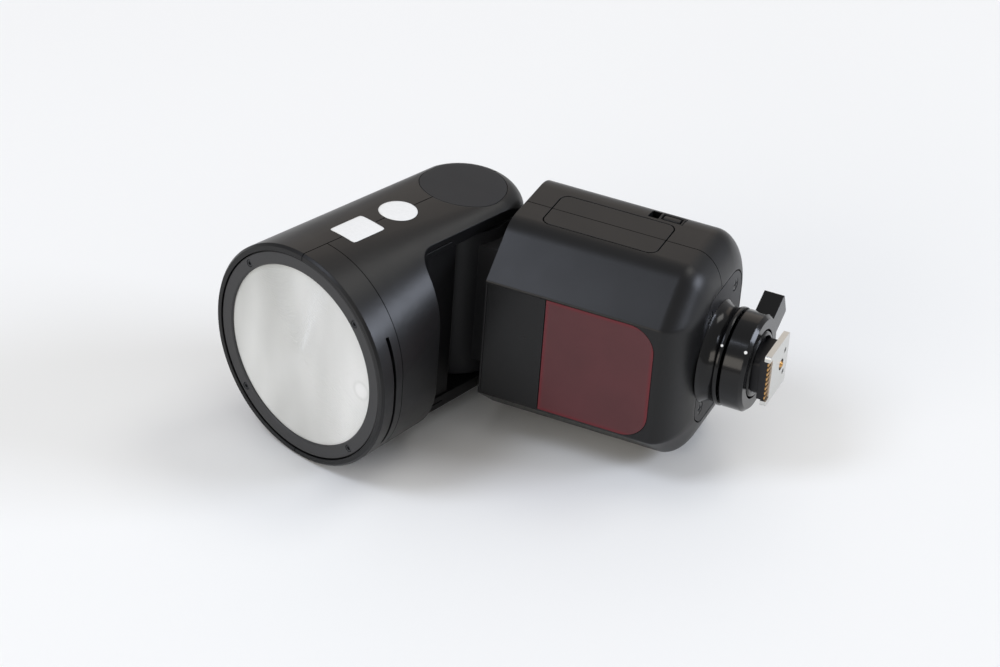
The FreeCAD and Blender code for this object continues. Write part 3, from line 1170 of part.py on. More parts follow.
ring = turned("ring_turned", [
    (ring_low, "stem_diameter / 2 + running_gap"), (ring_low, "ring_diameter / 2 - 0.4"),
    (f"{ring_low} + 0.4", "ring_diameter / 2"), (f"{ring_high} - ring_chamfer", "ring_diameter / 2"),
    (ring_high, "ring_diameter / 2 - ring_chamfer"), (ring_high, "ring_recess_diameter / 2"),
    (f"{ring_low} + ring_web", "ring_recess_diameter / 2"),
    (f"{ring_low} + ring_web", "stem_diameter / 2 + running_gap")])
tab = prism("tab_pad", "YZ_Plane", [
    ("ring_diameter / 2 - 1.5", "-tab_width / 2"), ("tab_reach", "-tab_width / 2"),
    ("tab_reach", "tab_width / 2"), ("ring_diameter / 2 - 1.5", "tab_width / 2")],
    "ring_length - 1", offset=f"{ring_low} + 0.5", corner_radius="0.6")
tab.Placement = Placement(Vector(), Rotation(Vector(1, 0, 0), size("tab_angle")))
tab.setExpression("Placement.Rotation.Angle", "sizes.tab_angle")
in_body(joined("ring_piece", [ring, tab]), "lock_ring")

plate_low = "(pivot_to_sole - plate_thick)"
disc_low = f"({stem_end})"
block_disc = rod("block_disc", "x", "block_disc_diameter", disc_low,
                 f"{disc_low} + block_disc_thick", ("0", "0"))
block_body = prism("block_pillar", "YZ_Plane",
                   rectangle("-block_length / 2", "block_length / 2", "-block_width / 2",
                             "block_width / 2"),
                   f"{plate_low} - {disc_low} - 0.5", offset=f"{disc_low} + 0.5",
                   corner_radius="2")
tongue_low = "-plate_length / 2 + 0.3"
tongue_high = "-plate_length / 2 + signal_slot_depth - 0.1"
contact_tongue = block("contact_tongue", (f"{plate_low} - 1.4", tongue_low,
                                          "-(signal_count * signal_pitch) / 2"),
                       (f"{plate_low} + plate_thick - 0.9", tongue_high,
                        "(signal_count * signal_pitch) / 2"))
block_bores = [rod("block_contact_bore", "x", "centre_contact_diameter + 0.1", "pivot_to_sole - 7",
                   "pivot_to_sole + 1", ("centre_contact_offset", "0"))]
plate_bores = [rod("plate_contact_bore", "x", "centre_contact_diameter + 1.6", "pivot_to_sole - 7",
                   "pivot_to_sole + 1", ("centre_contact_offset", "0"))]
lock_pins = []
for number, way in enumerate((-1, 1), start=1):
    spot = ("lock_pin_offset", f"{way} * lock_pin_spread")
    block_bores.append(rod(f"block_pin_bore_{number}", "x", "lock_pin_diameter + 2 * running_gap",
                           "pivot_to_sole - 8", "pivot_to_sole + 1", spot))
    plate_bores.append(rod(f"plate_pin_bore_{number}", "x", "lock_pin_diameter + 2 * running_gap",
                           "pivot_to_sole - 8", "pivot_to_sole + 1", spot))
    lock_pins.append(rod(f"lock_pin_rod_{number}", "x", "lock_pin_diameter", "pivot_to_sole - 6",
                         "pivot_to_sole - lock_pin_sink", spot))
in_body(minus("block_piece", joined("block_whole", [block_disc, block_body, contact_tongue]),
              block_bores), "foot_block")
in_body(group("lock_pin_pair", lock_pins), "lock_pins")
plate = prism("plate_pad", "YZ_Plane",
              rectangle("-plate_length / 2", "plate_length / 2", "-plate_width / 2",
                        "plate_width / 2"), "plate_thick", offset=plate_low,
              corner_radius="plate_corner")
plate_slot = block("plate_slot", (f"{plate_low} - 1", "-plate_length / 2 - 1",
                                  "-(signal_count * signal_pitch) / 2 - 0.2"),
                   ("pivot_to_sole + 1", "-plate_length / 2 + signal_slot_depth",
                    "(signal_count * signal_pitch) / 2 + 0.2"))
in_body(minus("plate_piece", plate, [plate_slot] + plate_bores), "shoe_plate")
contacts = []
for number in range(int(size("signal_count"))):
    level = f"({number} + 0.5 - signal_count / 2) * signal_pitch"
    contacts.append(block(f"signal_contact_{number + 1}",
                          (f"{plate_low} + plate_thick - 0.9", tongue_low,
                           f"{level} - signal_width / 2"),
                          (f"{plate_low} + plate_thick - 0.6", tongue_high,
                           f"{level} + signal_width / 2")))
in_body(group("signal_contact_set", contacts), "signal_contacts")
in_body(turned("contact_turned", [
    ("pivot_to_sole - 6.2", "0"), ("pivot_to_sole - 6.2", "centre_contact_diameter / 2"),
    ("pivot_to_sole - 0.3", "centre_contact_diameter / 2"),
    ("pivot_to_sole + centre_contact_proud", "centre_contact_diameter / 4"),
    ("pivot_to_sole + centre_contact_proud", "0")]), "centre_contact")
nodes["centre_contact"].setExpression("Placement.Base.y", "sizes.centre_contact_offset")

doc.recompute()
faults = [thing.Label for thing in doc.Objects
          if any(word in thing.State for word in ("Invalid", "Error"))]
os.makedirs("parts", exist_ok=True)
for label, piece in nodes.items():
    shape = piece.Shape
    if shape.isNull() or not shape.isValid() or not shape.Solids:
        faults.append(label)
        continue
    shape.exportStep(f"parts/{label}.step")
print(len(nodes), "pieces written")
if faults:
    raise RuntimeError("these did not build: " + ", ".join(sorted(set(faults))))
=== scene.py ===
# %% [markdown]
# # A round-head camera flash, dressed on its CAD frame
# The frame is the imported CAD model: every solid is already in its place, in metres, and grouped
# into the bodies that move. This script gives each piece its real surface. Where the CAD solid has
# the right form, a smooth-shaded copy of it is finished with a material; where the real piece is
# finer than the solid, such as the ribbed lens, a new surface replaces it.

import json
import math

import bmesh
import bpy
import numpy as np
from mathutils import Matrix, Vector


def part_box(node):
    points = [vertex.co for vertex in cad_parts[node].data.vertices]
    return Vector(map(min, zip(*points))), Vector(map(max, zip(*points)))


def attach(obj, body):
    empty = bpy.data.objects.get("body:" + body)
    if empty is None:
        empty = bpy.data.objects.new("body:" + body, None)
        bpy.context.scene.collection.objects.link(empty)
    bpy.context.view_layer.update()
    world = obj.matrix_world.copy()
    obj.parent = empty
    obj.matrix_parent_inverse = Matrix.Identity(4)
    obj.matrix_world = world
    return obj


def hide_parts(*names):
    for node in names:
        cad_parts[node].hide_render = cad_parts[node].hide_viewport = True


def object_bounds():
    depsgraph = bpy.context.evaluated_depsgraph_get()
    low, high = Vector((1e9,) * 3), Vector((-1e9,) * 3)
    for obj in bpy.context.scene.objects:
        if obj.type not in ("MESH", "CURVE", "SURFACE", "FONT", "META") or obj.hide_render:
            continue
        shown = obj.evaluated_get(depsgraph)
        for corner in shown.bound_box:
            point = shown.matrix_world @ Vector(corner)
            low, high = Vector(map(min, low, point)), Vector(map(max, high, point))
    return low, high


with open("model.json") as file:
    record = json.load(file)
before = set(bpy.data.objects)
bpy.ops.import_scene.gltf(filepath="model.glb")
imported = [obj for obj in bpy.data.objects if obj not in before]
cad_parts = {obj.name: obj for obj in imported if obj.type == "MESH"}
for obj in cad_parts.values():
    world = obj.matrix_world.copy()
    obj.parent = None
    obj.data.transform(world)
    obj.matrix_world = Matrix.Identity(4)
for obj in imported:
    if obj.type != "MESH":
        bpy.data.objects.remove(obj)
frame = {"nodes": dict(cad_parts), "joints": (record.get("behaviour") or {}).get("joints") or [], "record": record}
cad_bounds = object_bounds()
nodes = frame["nodes"]
joints = {joint["name"]: joint for joint in frame["joints"]}
body_of_node = {node: body for body, members in frame["record"]["behaviour"]["bodies"].items()
                for node in members}

# %% [markdown]
# ## Two coordinate systems
# The body lies along X with its sole at the origin. The head is tilted round the pivot, so its
# pieces are easier to describe by three numbers: how far they lie along the lens axis, how far
# towards the foot, and how high. One function turns these into the frame's coordinates, and
# takes whole arrays at once.

# %% Places on the head and on the body
mm = 0.001
rest_tilt = math.radians(19)
pivot = np.array(joints["head_tilt"]["pos_m"])
lens_axis = np.array([-math.sin(rest_tilt), -math.cos(rest_tilt), 0.0])
foot_axis = np.array([math.cos(rest_tilt), -math.sin(rest_tilt), 0.0])
up_axis = np.array([0.0, 0.0, 1.0])


def on_head(along, towards_foot, high):
    """Point = pivot + along the lens axis + towards the foot + up, all given in millimetres."""
    parts = np.broadcast_arrays(along, towards_foot, high)
    along, towards_foot, high = (np.asarray(part, float)[..., None] * mm for part in parts)
    return pivot + along * lens_axis + towards_foot * foot_axis + high * up_axis


print("the lens looks along", np.round(lens_axis, 3))

# %% [markdown]
# ## Colours and nodes
# Colours are easiest to read off a photo as sRGB hex, but shaders work in linear light, so one
# function converts them. A second small function adds a shader node, sets its values and makes
# its links, which keeps each material short enough to read.

# %% Colour and node helpers


def linear(code):
    """sRGB hex to linear: c / 12.92 near black, else ((c + 0.055) / 1.055) to the power 2.4."""
    parts = np.array([int(code[i:i + 2], 16) for i in (1, 3, 5)]) / 255
    light = np.where(parts <= 0.04045, parts / 12.92, ((parts + 0.055) / 1.055) ** 2.4)
    return (*light.tolist(), 1.0)


def add_node(tree, kind, settings=None, inputs=None):
    """Add one node; a value in inputs is a number, a colour or another node's output to link."""
    node = tree.nodes.new(kind)
    for name, value in (settings or {}).items():
        setattr(node, name, value)
    for name, value in (inputs or {}).items():
        if isinstance(value, bpy.types.NodeSocket):
            tree.links.new(value, node.inputs[name])
        else:
            node.inputs[name].default_value = value
    return node


def new_material(name, **shader_values):
    """A material with a Principled shader whose own sockets hold the constant values."""
    material = bpy.data.materials.new(name)
    material.use_nodes = True
    tree = material.node_tree
    shader = tree.nodes["Principled BSDF"]
    for socket, value in shader_values.items():
        shader.inputs[socket.replace("_", " ")].default_value = value
    place = add_node(tree, "ShaderNodeTexCoord").outputs["Object"]
    return material, tree, shader, place


# %% [markdown]
# ## Black moulded ABS
# Nearly every outer piece is black ABS from a finely spark-eroded mould. That skin is not flat
# black: it scatters light into broad soft highlights, its roughness drifts a little from place to
# place, and its grain is about 0.1 mm, drawn here at 0.35 mm so that it still shows. A Bevel node
# rounds the shading of each edge by a few tenths of a millimetre, as a mould does.

# %% Moulded plastic
grain_size = 0.35


def moulded(name, colour, roughness, grain=0.06, grain_mm=grain_size, edge_mm=0.35, coat=0.0,
            shine=0.3):
    """Noise drives the bump and part of the roughness; a slower noise tints the colour."""
    material, tree, shader, place = new_material(name, Specular_IOR_Level=shine, Coat_Weight=coat,
                                                 Coat_Roughness=0.1)
    fine = add_node(tree, "ShaderNodeTexNoise", {}, {
        "Vector": place, "Scale": 1000 / grain_mm, "Detail": 2.0, "Roughness": 0.6})
    slow = add_node(tree, "ShaderNodeTexNoise", {}, {
        "Vector": place, "Scale": 1000 / 28, "Detail": 3.0, "Roughness": 0.55})
    sheen = add_node(tree, "ShaderNodeMapRange", {}, {
        "Value": slow.outputs["Fac"], "From Min": 0.3, "From Max": 0.7,
        "To Min": roughness - 0.035, "To Max": roughness + 0.035})
    tint = add_node(tree, "ShaderNodeMix", {"data_type": "RGBA"}, {
        "Factor": slow.outputs["Fac"]})
    tint.inputs["A"].default_value = linear(colour)
    tint.inputs["B"].default_value = [v * 1.25 for v in linear(colour)[:3]] + [1.0]
    rounded = add_node(tree, "ShaderNodeBevel", {"samples": 4}, {"Radius": edge_mm * mm})
    bump = add_node(tree, "ShaderNodeBump", {}, {
        "Height": fine.outputs["Fac"], "Strength": grain, "Distance": 0.05 * mm,
        "Normal": rounded.outputs["Normal"]})
    tree.links.new(tint.outputs["Result"], shader.inputs["Base Color"])
    tree.links.new(sheen.outputs["Result"], shader.inputs["Roughness"])
    tree.links.new(bump.outputs["Normal"], shader.inputs["Normal"])
    return material, tree, shader, place, tint


# Satin black ABS: a broad soft highlight on a deep black.
shell_abs = moulded("moulded_abs_black", "#101011", 0.36)[0]
# The neck's mould is coarser, so it looks greyer and duller.
neck_abs = moulded("moulded_abs_neck", "#222224", 0.5)[0]
# Charcoal ABS: light enough for the eye to read the front ring as a part of its own.
bezel_abs = moulded("moulded_abs_grey_ring", "#353536", 0.42, grain=0.1, edge_mm=0.25)[0]
# Nearly polished ABS: it mirrors the table darkly and shows no grain.
panel_abs = moulded("polished_abs_panel", "#0e0e0f", 0.3, grain=0.02, edge_mm=0.2)[0]
# Hard rubber scatters nearly all light: a flat dark grey with a grain that shows.
pad_rubber = moulded("moulded_rubber_grey", "#272728", 0.68, grain=0.5, grain_mm=0.6)[0]
# Silicone: softer and a little darker than the pads.
key_rubber = moulded("moulded_silicone_keys", "#202022", 0.6, grain=0.25, edge_mm=0.3)[0]
# Nylon with glass in it: a dull black with a hint of blue.
foot_nylon = moulded("moulded_nylon_foot", "#17171a", 0.45, edge_mm=0.2)[0]
print("moulded plastics ready")

# %% [markdown]
# ## Fine seams drawn in the finish
# Where two shells meet there is a joint line a few tenths of a millimetre wide, too fine for solid
# geometry. It is the edge of a plane, so the shader can find it: the dot product of a point with
# the plane's axis says how far along the axis the point lies. Where that is within half the seam's
# width of the plane, the colour turns black and the shine goes, as in a real gap.

# %% Seam lines
seam_width = 0.3


def seam_lines(parts, planes):
    """Each plane is an origin and an axis in metres and a distance in millimetres along it."""
    material, tree, shader, place, tint = parts
    dark = None
    for origin, axis, distance in planes:
        offset = add_node(tree, "ShaderNodeVectorMath", {"operation": "SUBTRACT"})
        tree.links.new(place, offset.inputs[0])
        offset.inputs[1].default_value = origin
        along = add_node(tree, "ShaderNodeVectorMath", {"operation": "DOT_PRODUCT"})
        tree.links.new(offset.outputs["Vector"], along.inputs[0])
        along.inputs[1].default_value = axis
        near = add_node(tree, "ShaderNodeMath", {"operation": "COMPARE"})
        tree.links.new(along.outputs["Value"], near.inputs[0])
        near.inputs[1].default_value = distance * mm
        near.inputs[2].default_value = seam_width / 2 * mm
        if dark is None:
            dark = near.outputs["Value"]
        else:
            either = add_node(tree, "ShaderNodeMath", {"operation": "MAXIMUM"})
            tree.links.new(dark, either.inputs[0])
            tree.links.new(near.outputs["Value"], either.inputs[1])
            dark = either.outputs["Value"]
    colour = add_node(tree, "ShaderNodeMix", {"data_type": "RGBA"}, {"Factor": dark})
    tree.links.new(tint.outputs["Result"], colour.inputs["A"])
    colour.inputs["B"].default_value = linear("#020202")
    tree.links.new(colour.outputs["Result"], shader.inputs["Base Color"])
    shine = add_node(tree, "ShaderNodeMapRange", {}, {
        "Value": dark, "To Min": shader.inputs["Specular IOR Level"].default_value, "To Max": 0.0})
    tree.links.new(shine.outputs["Result"], shader.inputs["Specular IOR Level"])
    return material


head_parting = (pivot, foot_axis, 0)
body_parting = ((0, 0, 0), (0, 1, 0), 0)
upper_head_abs = seam_lines(moulded("moulded_abs_upper_head", "#101011", 0.36), [head_parting])
lower_head_abs = seam_lines(moulded("moulded_abs_lower_head", "#101011", 0.36),
                            [head_parting, (pivot, lens_axis, 62)])
body_abs = seam_lines(moulded("moulded_abs_body", "#101011", 0.36), [body_parting])
battery_abs = seam_lines(moulded("moulded_abs_battery", "#101011", 0.38), [body_parting])
print("seams on the head's and the body's middle planes, and 62 mm along the lens axis")

# %% [markdown]
# ## The red window
# The window over the focus lamps is deep red acrylic: it looks brown-black where it is backed by
# dark parts and glows red along its cut edges, where light runs through the sheet. That edge light
# is painted: the distance to the nearest edge brightens the red base colour there.

# %% Red window
window_low, window_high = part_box("red_window")


def red_acrylic():
    """Painted edge light: the red base colour brightens towards the sheet's edges, from the distance to the
    nearest border.
    """
    material, tree, shader, place = new_material(
        "red_acrylic_window", IOR=1.49, Specular_IOR_Level=0.35, Roughness=0.2)
    split = add_node(tree, "ShaderNodeSeparateXYZ", {}, {"Vector": place})

    def border(letter, middle, half):
        """Distance inwards from the sheet's two borders on one axis."""
        away = add_node(tree, "ShaderNodeMath", {"operation": "SUBTRACT"})
        tree.links.new(split.outputs[letter], away.inputs[0])
        away.inputs[1].default_value = middle
        size = add_node(tree, "ShaderNodeMath", {"operation": "ABSOLUTE"})
        tree.links.new(away.outputs["Value"], size.inputs[0])
        left = add_node(tree, "ShaderNodeMath", {"operation": "SUBTRACT"})
        left.inputs[0].default_value = half
        tree.links.new(size.outputs["Value"], left.inputs[1])
        return left.outputs["Value"]

    middle = (window_low + window_high) / 2
    half = (window_high - window_low) / 2
    nearest = add_node(tree, "ShaderNodeMath", {"operation": "MINIMUM"})
    tree.links.new(border("X", middle.x, half.x), nearest.inputs[0])
    tree.links.new(border("Z", middle.z, half.z), nearest.inputs[1])
    cloud = add_node(tree, "ShaderNodeTexNoise", {}, {
        "Vector": place, "Scale": 1000 / 12, "Detail": 2.0, "Roughness": 0.5})
    # Painted light: within 1.6 mm of a border the base colour turns a brighter red.
    painted_edge_glow = add_node(tree, "ShaderNodeMapRange", {"interpolation_type": "SMOOTHSTEP"}, {
        "Value": nearest.outputs["Value"], "From Min": 0.2 * mm, "From Max": 1.6 * mm,
        "To Min": 1.0, "To Max": 0.0})
    depth = add_node(tree, "ShaderNodeMix", {"data_type": "RGBA"}, {"Factor": cloud.outputs["Fac"]})
    depth.inputs["A"].default_value = linear("#4c2427")
    depth.inputs["B"].default_value = linear("#57292d")
    # The painted edge light is mixed over the sheet's own red here.
    edge = add_node(tree, "ShaderNodeMix", {"data_type": "RGBA"}, {
        "Factor": painted_edge_glow.outputs["Result"]})
    tree.links.new(depth.outputs["Result"], edge.inputs["A"])
    edge.inputs["B"].default_value = linear("#611c23")
    tree.links.new(edge.outputs["Result"], shader.inputs["Base Color"])
    return material


window_acrylic = red_acrylic()
print("window is", round((window_high.x - window_low.x) / mm, 1), "mm long")

# %% [markdown]
# ## Streaks on metal
# A brush leaves fine parallel scratches, which make a metal duller across them than along them. A
# noise that is stretched along one axis drives the roughness and a very low bump, and the same
# noise left unstretched gives a turned, polished or plated surface. A metal's colour is its
# reflection, so its Metallic is 1 and its index of refraction is left alone.

# %% Polished acetal and metals


def brushed(name, colour, roughness, stretch, metallic=1.0):
    """Noise stretched along one axis gives the roughness its fine brushed streaks."""
    material, tree, shader, place = new_material(name, Metallic=metallic)
    streaks = add_node(tree, "ShaderNodeMapping", {}, {"Vector": place, "Scale": stretch})
    noise = add_node(tree, "ShaderNodeTexNoise", {}, {
        "Vector": streaks.outputs["Vector"], "Scale": 1000 / 0.4, "Detail": 2.0})
    spread = add_node(tree, "ShaderNodeMapRange", {}, {
        "Value": noise.outputs["Fac"], "To Min": roughness - 0.08, "To Max": roughness + 0.08})
    bump = add_node(tree, "ShaderNodeBump", {}, {
        "Height": noise.outputs["Fac"], "Strength": 0.12, "Distance": 0.02 * mm})
    shader.inputs["Base Color"].default_value = linear(colour)
    tree.links.new(spread.outputs["Result"], shader.inputs["Roughness"])
    tree.links.new(bump.outputs["Normal"], shader.inputs["Normal"])
    return material


# Turned and polished acetal: near black, with small sharp highlights.
polished_acetal = moulded("polished_acetal_black", "#0b0b0c", 0.18, grain=0.01, edge_mm=0.4,
                          coat=0.2, shine=0.22)[0]
# Brush strokes along one direction stretch the sole's highlight across them.
sole_aluminium = brushed("brushed_aluminium_sole", "#d2d2cf", 0.36, (1.0, 0.06, 1.0))
# The bowl is bright enough to throw the lamp's light forwards.
bowl_aluminium = brushed("polished_aluminium_bowl", "#e6e8ea", 0.22, (1.0, 1.0, 1.0))
# Turned steel is mid grey, and the blackened screws only glint at their edges.
plain_steel = brushed("turned_steel", "#9b9b9d", 0.34, (1.0, 1.0, 1.0))
dark_steel = brushed("blackened_steel_screws", "#4a4b4d", 0.4, (1.0, 1.0, 1.0))
# Thin gold over nickel: warm glints.
gold_plate = brushed("gold_plated_contacts", "#c99a5b", 0.28, (1.0, 1.0, 1.0))
print("polished and metal finishes ready")

# %% [markdown]
# ## The lens sheet
# The front lens is clear acrylic pressed with hundreds of fine rings, and behind it a bright bowl
# throws every reflection back. Together they look like frosted, milky glass rather than a window.
# A mostly white, slightly translucent skin gives that look from every side and stays quick to
# render; its white is partly the sheet's frosted look and partly painted reflection of the bowl, and
# the rings themselves are real geometry below.

# %% Pressed acrylic lens


def pressed_acrylic():
    """A milky white skin that is partly painted light. Slow noise paints the cloudy reflection of the
    bowl behind it. The distance from the modelling lamp paints its bright spot, its dark rim and a slow fall of
    the light."""
    material, tree, shader, place = new_material(
        "pressed_acrylic_lens", IOR=1.49, Roughness=0.32, Coat_Weight=0.35, Coat_Roughness=0.2,
        Transmission_Weight=0.12)
    across = add_node(tree, "ShaderNodeMapping", {}, {"Vector": place, "Scale": (1.0, 1.0, 0.35)})
    painted_bowl_patches = add_node(tree, "ShaderNodeTexNoise", {}, {
        "Vector": across.outputs["Vector"], "Scale": 1000 / 22, "Detail": 2.5, "Roughness": 0.45})
    spread = add_node(tree, "ShaderNodeMapRange", {}, {
        "Value": painted_bowl_patches.outputs["Fac"], "From Min": 0.32, "From Max": 0.68})
    # Painted reflection: two whites mixed by slow noise stand for the bowl's cloudy light over the sheet's frosted
    # white.
    frost_and_painted_bowl = add_node(tree, "ShaderNodeMix", {"data_type": "RGBA"}, {
        "Factor": spread.outputs["Result"]})
    frost_and_painted_bowl.inputs["A"].default_value = linear("#cccdca")
    frost_and_painted_bowl.inputs["B"].default_value = linear("#e9eae8")
    away = add_node(tree, "ShaderNodeVectorMath", {"operation": "DISTANCE"}, {"Vector": place})
    away.inputs[1].default_value = on_head(lens_front, 27.0, 0.0).tolist()
    share = add_node(tree, "ShaderNodeMath", {"operation": "DIVIDE"})
    tree.links.new(away.outputs["Value"], share.inputs[0])
    share.inputs[1].default_value = 60 * mm
    # Painted light: the modelling lamp's bright spot, its dark rim, and light falling off towards the lens's edge.
    painted_lamp_light = add_node(tree, "ShaderNodeValToRGB", {}, {"Fac": share.outputs["Value"]})
    levels = ((0.0, 1.0), (0.035, 0.95), (0.05, 0.45), (0.065, 0.74), (0.45, 0.6), (1.0, 0.2))
    while len(painted_lamp_light.color_ramp.elements) < len(levels):
        painted_lamp_light.color_ramp.elements.new(0.5)
    for stop, (position, level) in zip(painted_lamp_light.color_ramp.elements, levels):
        stop.position = position
        stop.color = (level, level, level, 1)
    # The painted lamp light is laid over the lens's white by a soft-light mix.
    spot = add_node(tree, "ShaderNodeMix", {"data_type": "RGBA", "blend_type": "SOFT_LIGHT"},
                    {"Factor": 0.8})
    tree.links.new(frost_and_painted_bowl.outputs["Result"], spot.inputs["A"])
    tree.links.new(painted_lamp_light.outputs["Color"], spot.inputs["B"])
    tree.links.new(spot.outputs["Result"], shader.inputs["Base Color"])
    return material


lens_radius = 31.6
lens_front = 71.8
lens_acrylic = pressed_acrylic()
# Quartz glass is clear with sharp glints. The lamp's moulded lens looks faintly yellow, and a faint
# painted glow is added to it, though no lamp lights it.
tube_glass = new_material("quartz_tube", IOR=1.46, Roughness=0.05, Transmission_Weight=0.9,
                          Base_Color=linear("#f4f2ea"))[0]
lamp_lens_painted_glow = new_material("moulded_lamp_lens", IOR=1.49, Roughness=0.2, Base_Color=linear("#fff6dd"),
                         Emission_Color=linear("#fff1cf"), Emission_Strength=0.35)[0]
print("lens, tube and lamp finishes ready")

# %% [markdown]
# ## Parts that hardly show
# Circuit boards, sleeves and the dark display are seen only when the battery slides out or from
# behind, so each gets a short material with one pattern at its real scale.

# %% Inner finishes


def speckled(name, first, second, spot_mm, roughness, metallic=0.0):
    """Two colours mixed by a cell pattern with cells of the given size."""
    material, tree, shader, place = new_material(name, Roughness=roughness, Metallic=metallic)
    cells = add_node(tree, "ShaderNodeTexVoronoi", {}, {"Vector": place, "Scale": 1000 / spot_mm})
    mix = add_node(tree, "ShaderNodeMix", {"data_type": "RGBA"}, {
        "Factor": cells.outputs["Distance"]})
    mix.inputs["A"].default_value = linear(first)
    mix.inputs["B"].default_value = linear(second)
    tree.links.new(mix.outputs["Result"], shader.inputs["Base Color"])
    return material


# Fibreglass shows its weave as green specks; epoxy, sleeves and nylon are even and darker; nickel
# plating is a pale, slightly patchy metal.
board_laminate = speckled("fibreglass_board", "#123a22", "#1d5733", 2.5, 0.45)
chip_epoxy = speckled("epoxy_switch_blocks", "#1a1a1a", "#2a2a2a", 1.5, 0.5)
black_sleeve = speckled("shrink_sleeve_black", "#101012", "#1b1b1e", 3.0, 0.35)
cell_sleeve = speckled("shrink_sleeve_blue", "#1f4e79", "#275f92", 4.0, 0.3)
inner_nylon = speckled("moulded_nylon_inner", "#1e1e1f", "#2b2b2c", 1.0, 0.55)
socket_plating = speckled("nickel_plated_socket", "#a3a3a1", "#bdbdba", 1.2, 0.3, metallic=1.0)
print("inner finishes ready")

# %% [markdown]
# ## Smooth copies of the CAD skins
# The frame's meshes are loose triangles. Where the form is right, the piece is copied, its
# doubled corners are merged and its curved faces are shaded smooth up to a limit angle, so that a
# long soft highlight runs over it without a ripple.

# %% Smooth copies
smooth_limit = math.radians(24)


def add_object(name, mesh, body, material, stands_for=()):
    """Link a finished mesh, give it its material and tie it to its body."""
    piece = bpy.data.objects.new(name, mesh)
    bpy.context.scene.collection.objects.link(piece)
    mesh.materials.clear()
    mesh.materials.append(material)
    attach(piece, body)
    if stands_for:
        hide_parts(*stands_for)
    return piece


def smooth_copy(node, material):
    """Copy a CAD node, merge its corners and split the shading only at sharp edges."""
    mesh = nodes[node].data.copy()
    mesh.name = node + "_skin"
    work = bmesh.new()
    work.from_mesh(mesh)
    bmesh.ops.remove_doubles(work, verts=work.verts, dist=0.002 * mm)
    for edge in work.edges:
        edge.smooth = len(edge.link_faces) == 2 and edge.calc_face_angle(4.0) < smooth_limit
    for face in work.faces:
        face.smooth = True
    work.to_mesh(mesh)
    work.free()
    if "custom_normal" in mesh.attributes:
        mesh.attributes.remove(mesh.attributes["custom_normal"])
    return add_object(node + "_skin", mesh, body_of_node[node], material, [node])


smooth_pieces = {
    "head_top_shell": upper_head_abs, "head_bottom_shell": lower_head_abs, "front_shell": body_abs,
    "rear_shell": body_abs, "neck_front_shell": neck_abs, "neck_rear_shell": neck_abs,
    "front_bezel": bezel_abs, "battery_side_cap": pad_rubber, "socket_side_cap": pad_rubber,
    "battery_case": battery_abs, "front_panel": panel_abs,
    "red_window": window_acrylic, "port_cover": pad_rubber, "base_plate": foot_nylon,
    "lock_ring": polished_acetal, "foot_block": foot_nylon,
    "shoe_plate": sole_aluminium, "sync_socket": socket_plating, "usb_socket": socket_plating,
    "reflector": bowl_aluminium, "flash_tube": tube_glass, "modelling_lamp": lamp_lens_painted_glow,
    "centre_contact": gold_plate, "display_glass": None, "swivel_bush": inner_nylon,
}
plain_pieces = {
    "focus_lamps": lamp_lens_painted_glow, "front_board": board_laminate, "main_board": board_laminate,
    "battery_chamber": inner_nylon, "battery_contacts": gold_plate, "battery_cells": cell_sleeve,
    "capacitor": black_sleeve, "display_module": chip_epoxy, "dial_encoder": chip_epoxy,
    "key_switches": chip_epoxy, "signal_contacts": gold_plate, "tilt_pivots": plain_steel,
    "tilt_bushes": inner_nylon, "detent_disc": plain_steel, "detent_ball": plain_steel,
    "swivel_tube": plain_steel, "swivel_retainer": plain_steel, "accessory_magnets": plain_steel,
    "lock_pins": plain_steel,
}
for node, material in plain_pieces.items():
    nodes[node].data.materials.clear()
    nodes[node].data.materials.append(material)
print(len(plain_pieces), "inner nodes keep their solid")

# %% [markdown]
# ## The display's glass
# The screen on the back is one sheet of black-bordered glass over a grey display. The picture is
# off, so the place where it would be is only a little lighter and greener than the border. A
# smooth step on both axes draws that rectangle.

# %% Display glass
glass_low, glass_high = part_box("display_glass")
picture_long, picture_wide = 19, 36


def bordered_glass():
    """The picture's rectangle is where both distances from the glass's middle are small enough."""
    material, tree, shader, place = new_material(
        "bordered_display_glass", IOR=1.52, Roughness=0.07, Coat_Weight=1.0, Coat_Roughness=0.03)
    split = add_node(tree, "ShaderNodeSeparateXYZ", {}, {"Vector": place})
    middle = (glass_low + glass_high) / 2
    masks = []
    for letter, centre, size in (("X", middle.x, picture_long), ("Z", middle.z, picture_wide)):
        inside = add_node(tree, "ShaderNodeMath", {"operation": "COMPARE"})
        tree.links.new(split.outputs[letter], inside.inputs[0])
        inside.inputs[1].default_value = centre
        inside.inputs[2].default_value = size / 2 * mm
        masks.append(inside)
    both = add_node(tree, "ShaderNodeMath", {"operation": "MULTIPLY"})
    tree.links.new(masks[0].outputs["Value"], both.inputs[0])
    tree.links.new(masks[1].outputs["Value"], both.inputs[1])
    mix = add_node(tree, "ShaderNodeMix", {"data_type": "RGBA"}, {"Factor": both.outputs["Value"]})
    mix.inputs["A"].default_value = linear("#08080a")
    mix.inputs["B"].default_value = linear("#3a423c")
    tree.links.new(mix.outputs["Result"], shader.inputs["Base Color"])
    return material


smooth_pieces["display_glass"] = bordered_glass()
skins = {node: smooth_copy(node, material) for node, material in smooth_pieces.items()}
print(len(skins), "CAD skins copied and smoothed")

# %% [markdown]
# ## Wider shadow gaps
# The gap round the battery's face and round the base plate is a crisp dark line on the real
# object. A gap of a tenth or two hardly darkens in a render, so these two skins are drawn in
# a little round their own middle: each coordinate's distance from it is scaled.

# %% Draw two skins in


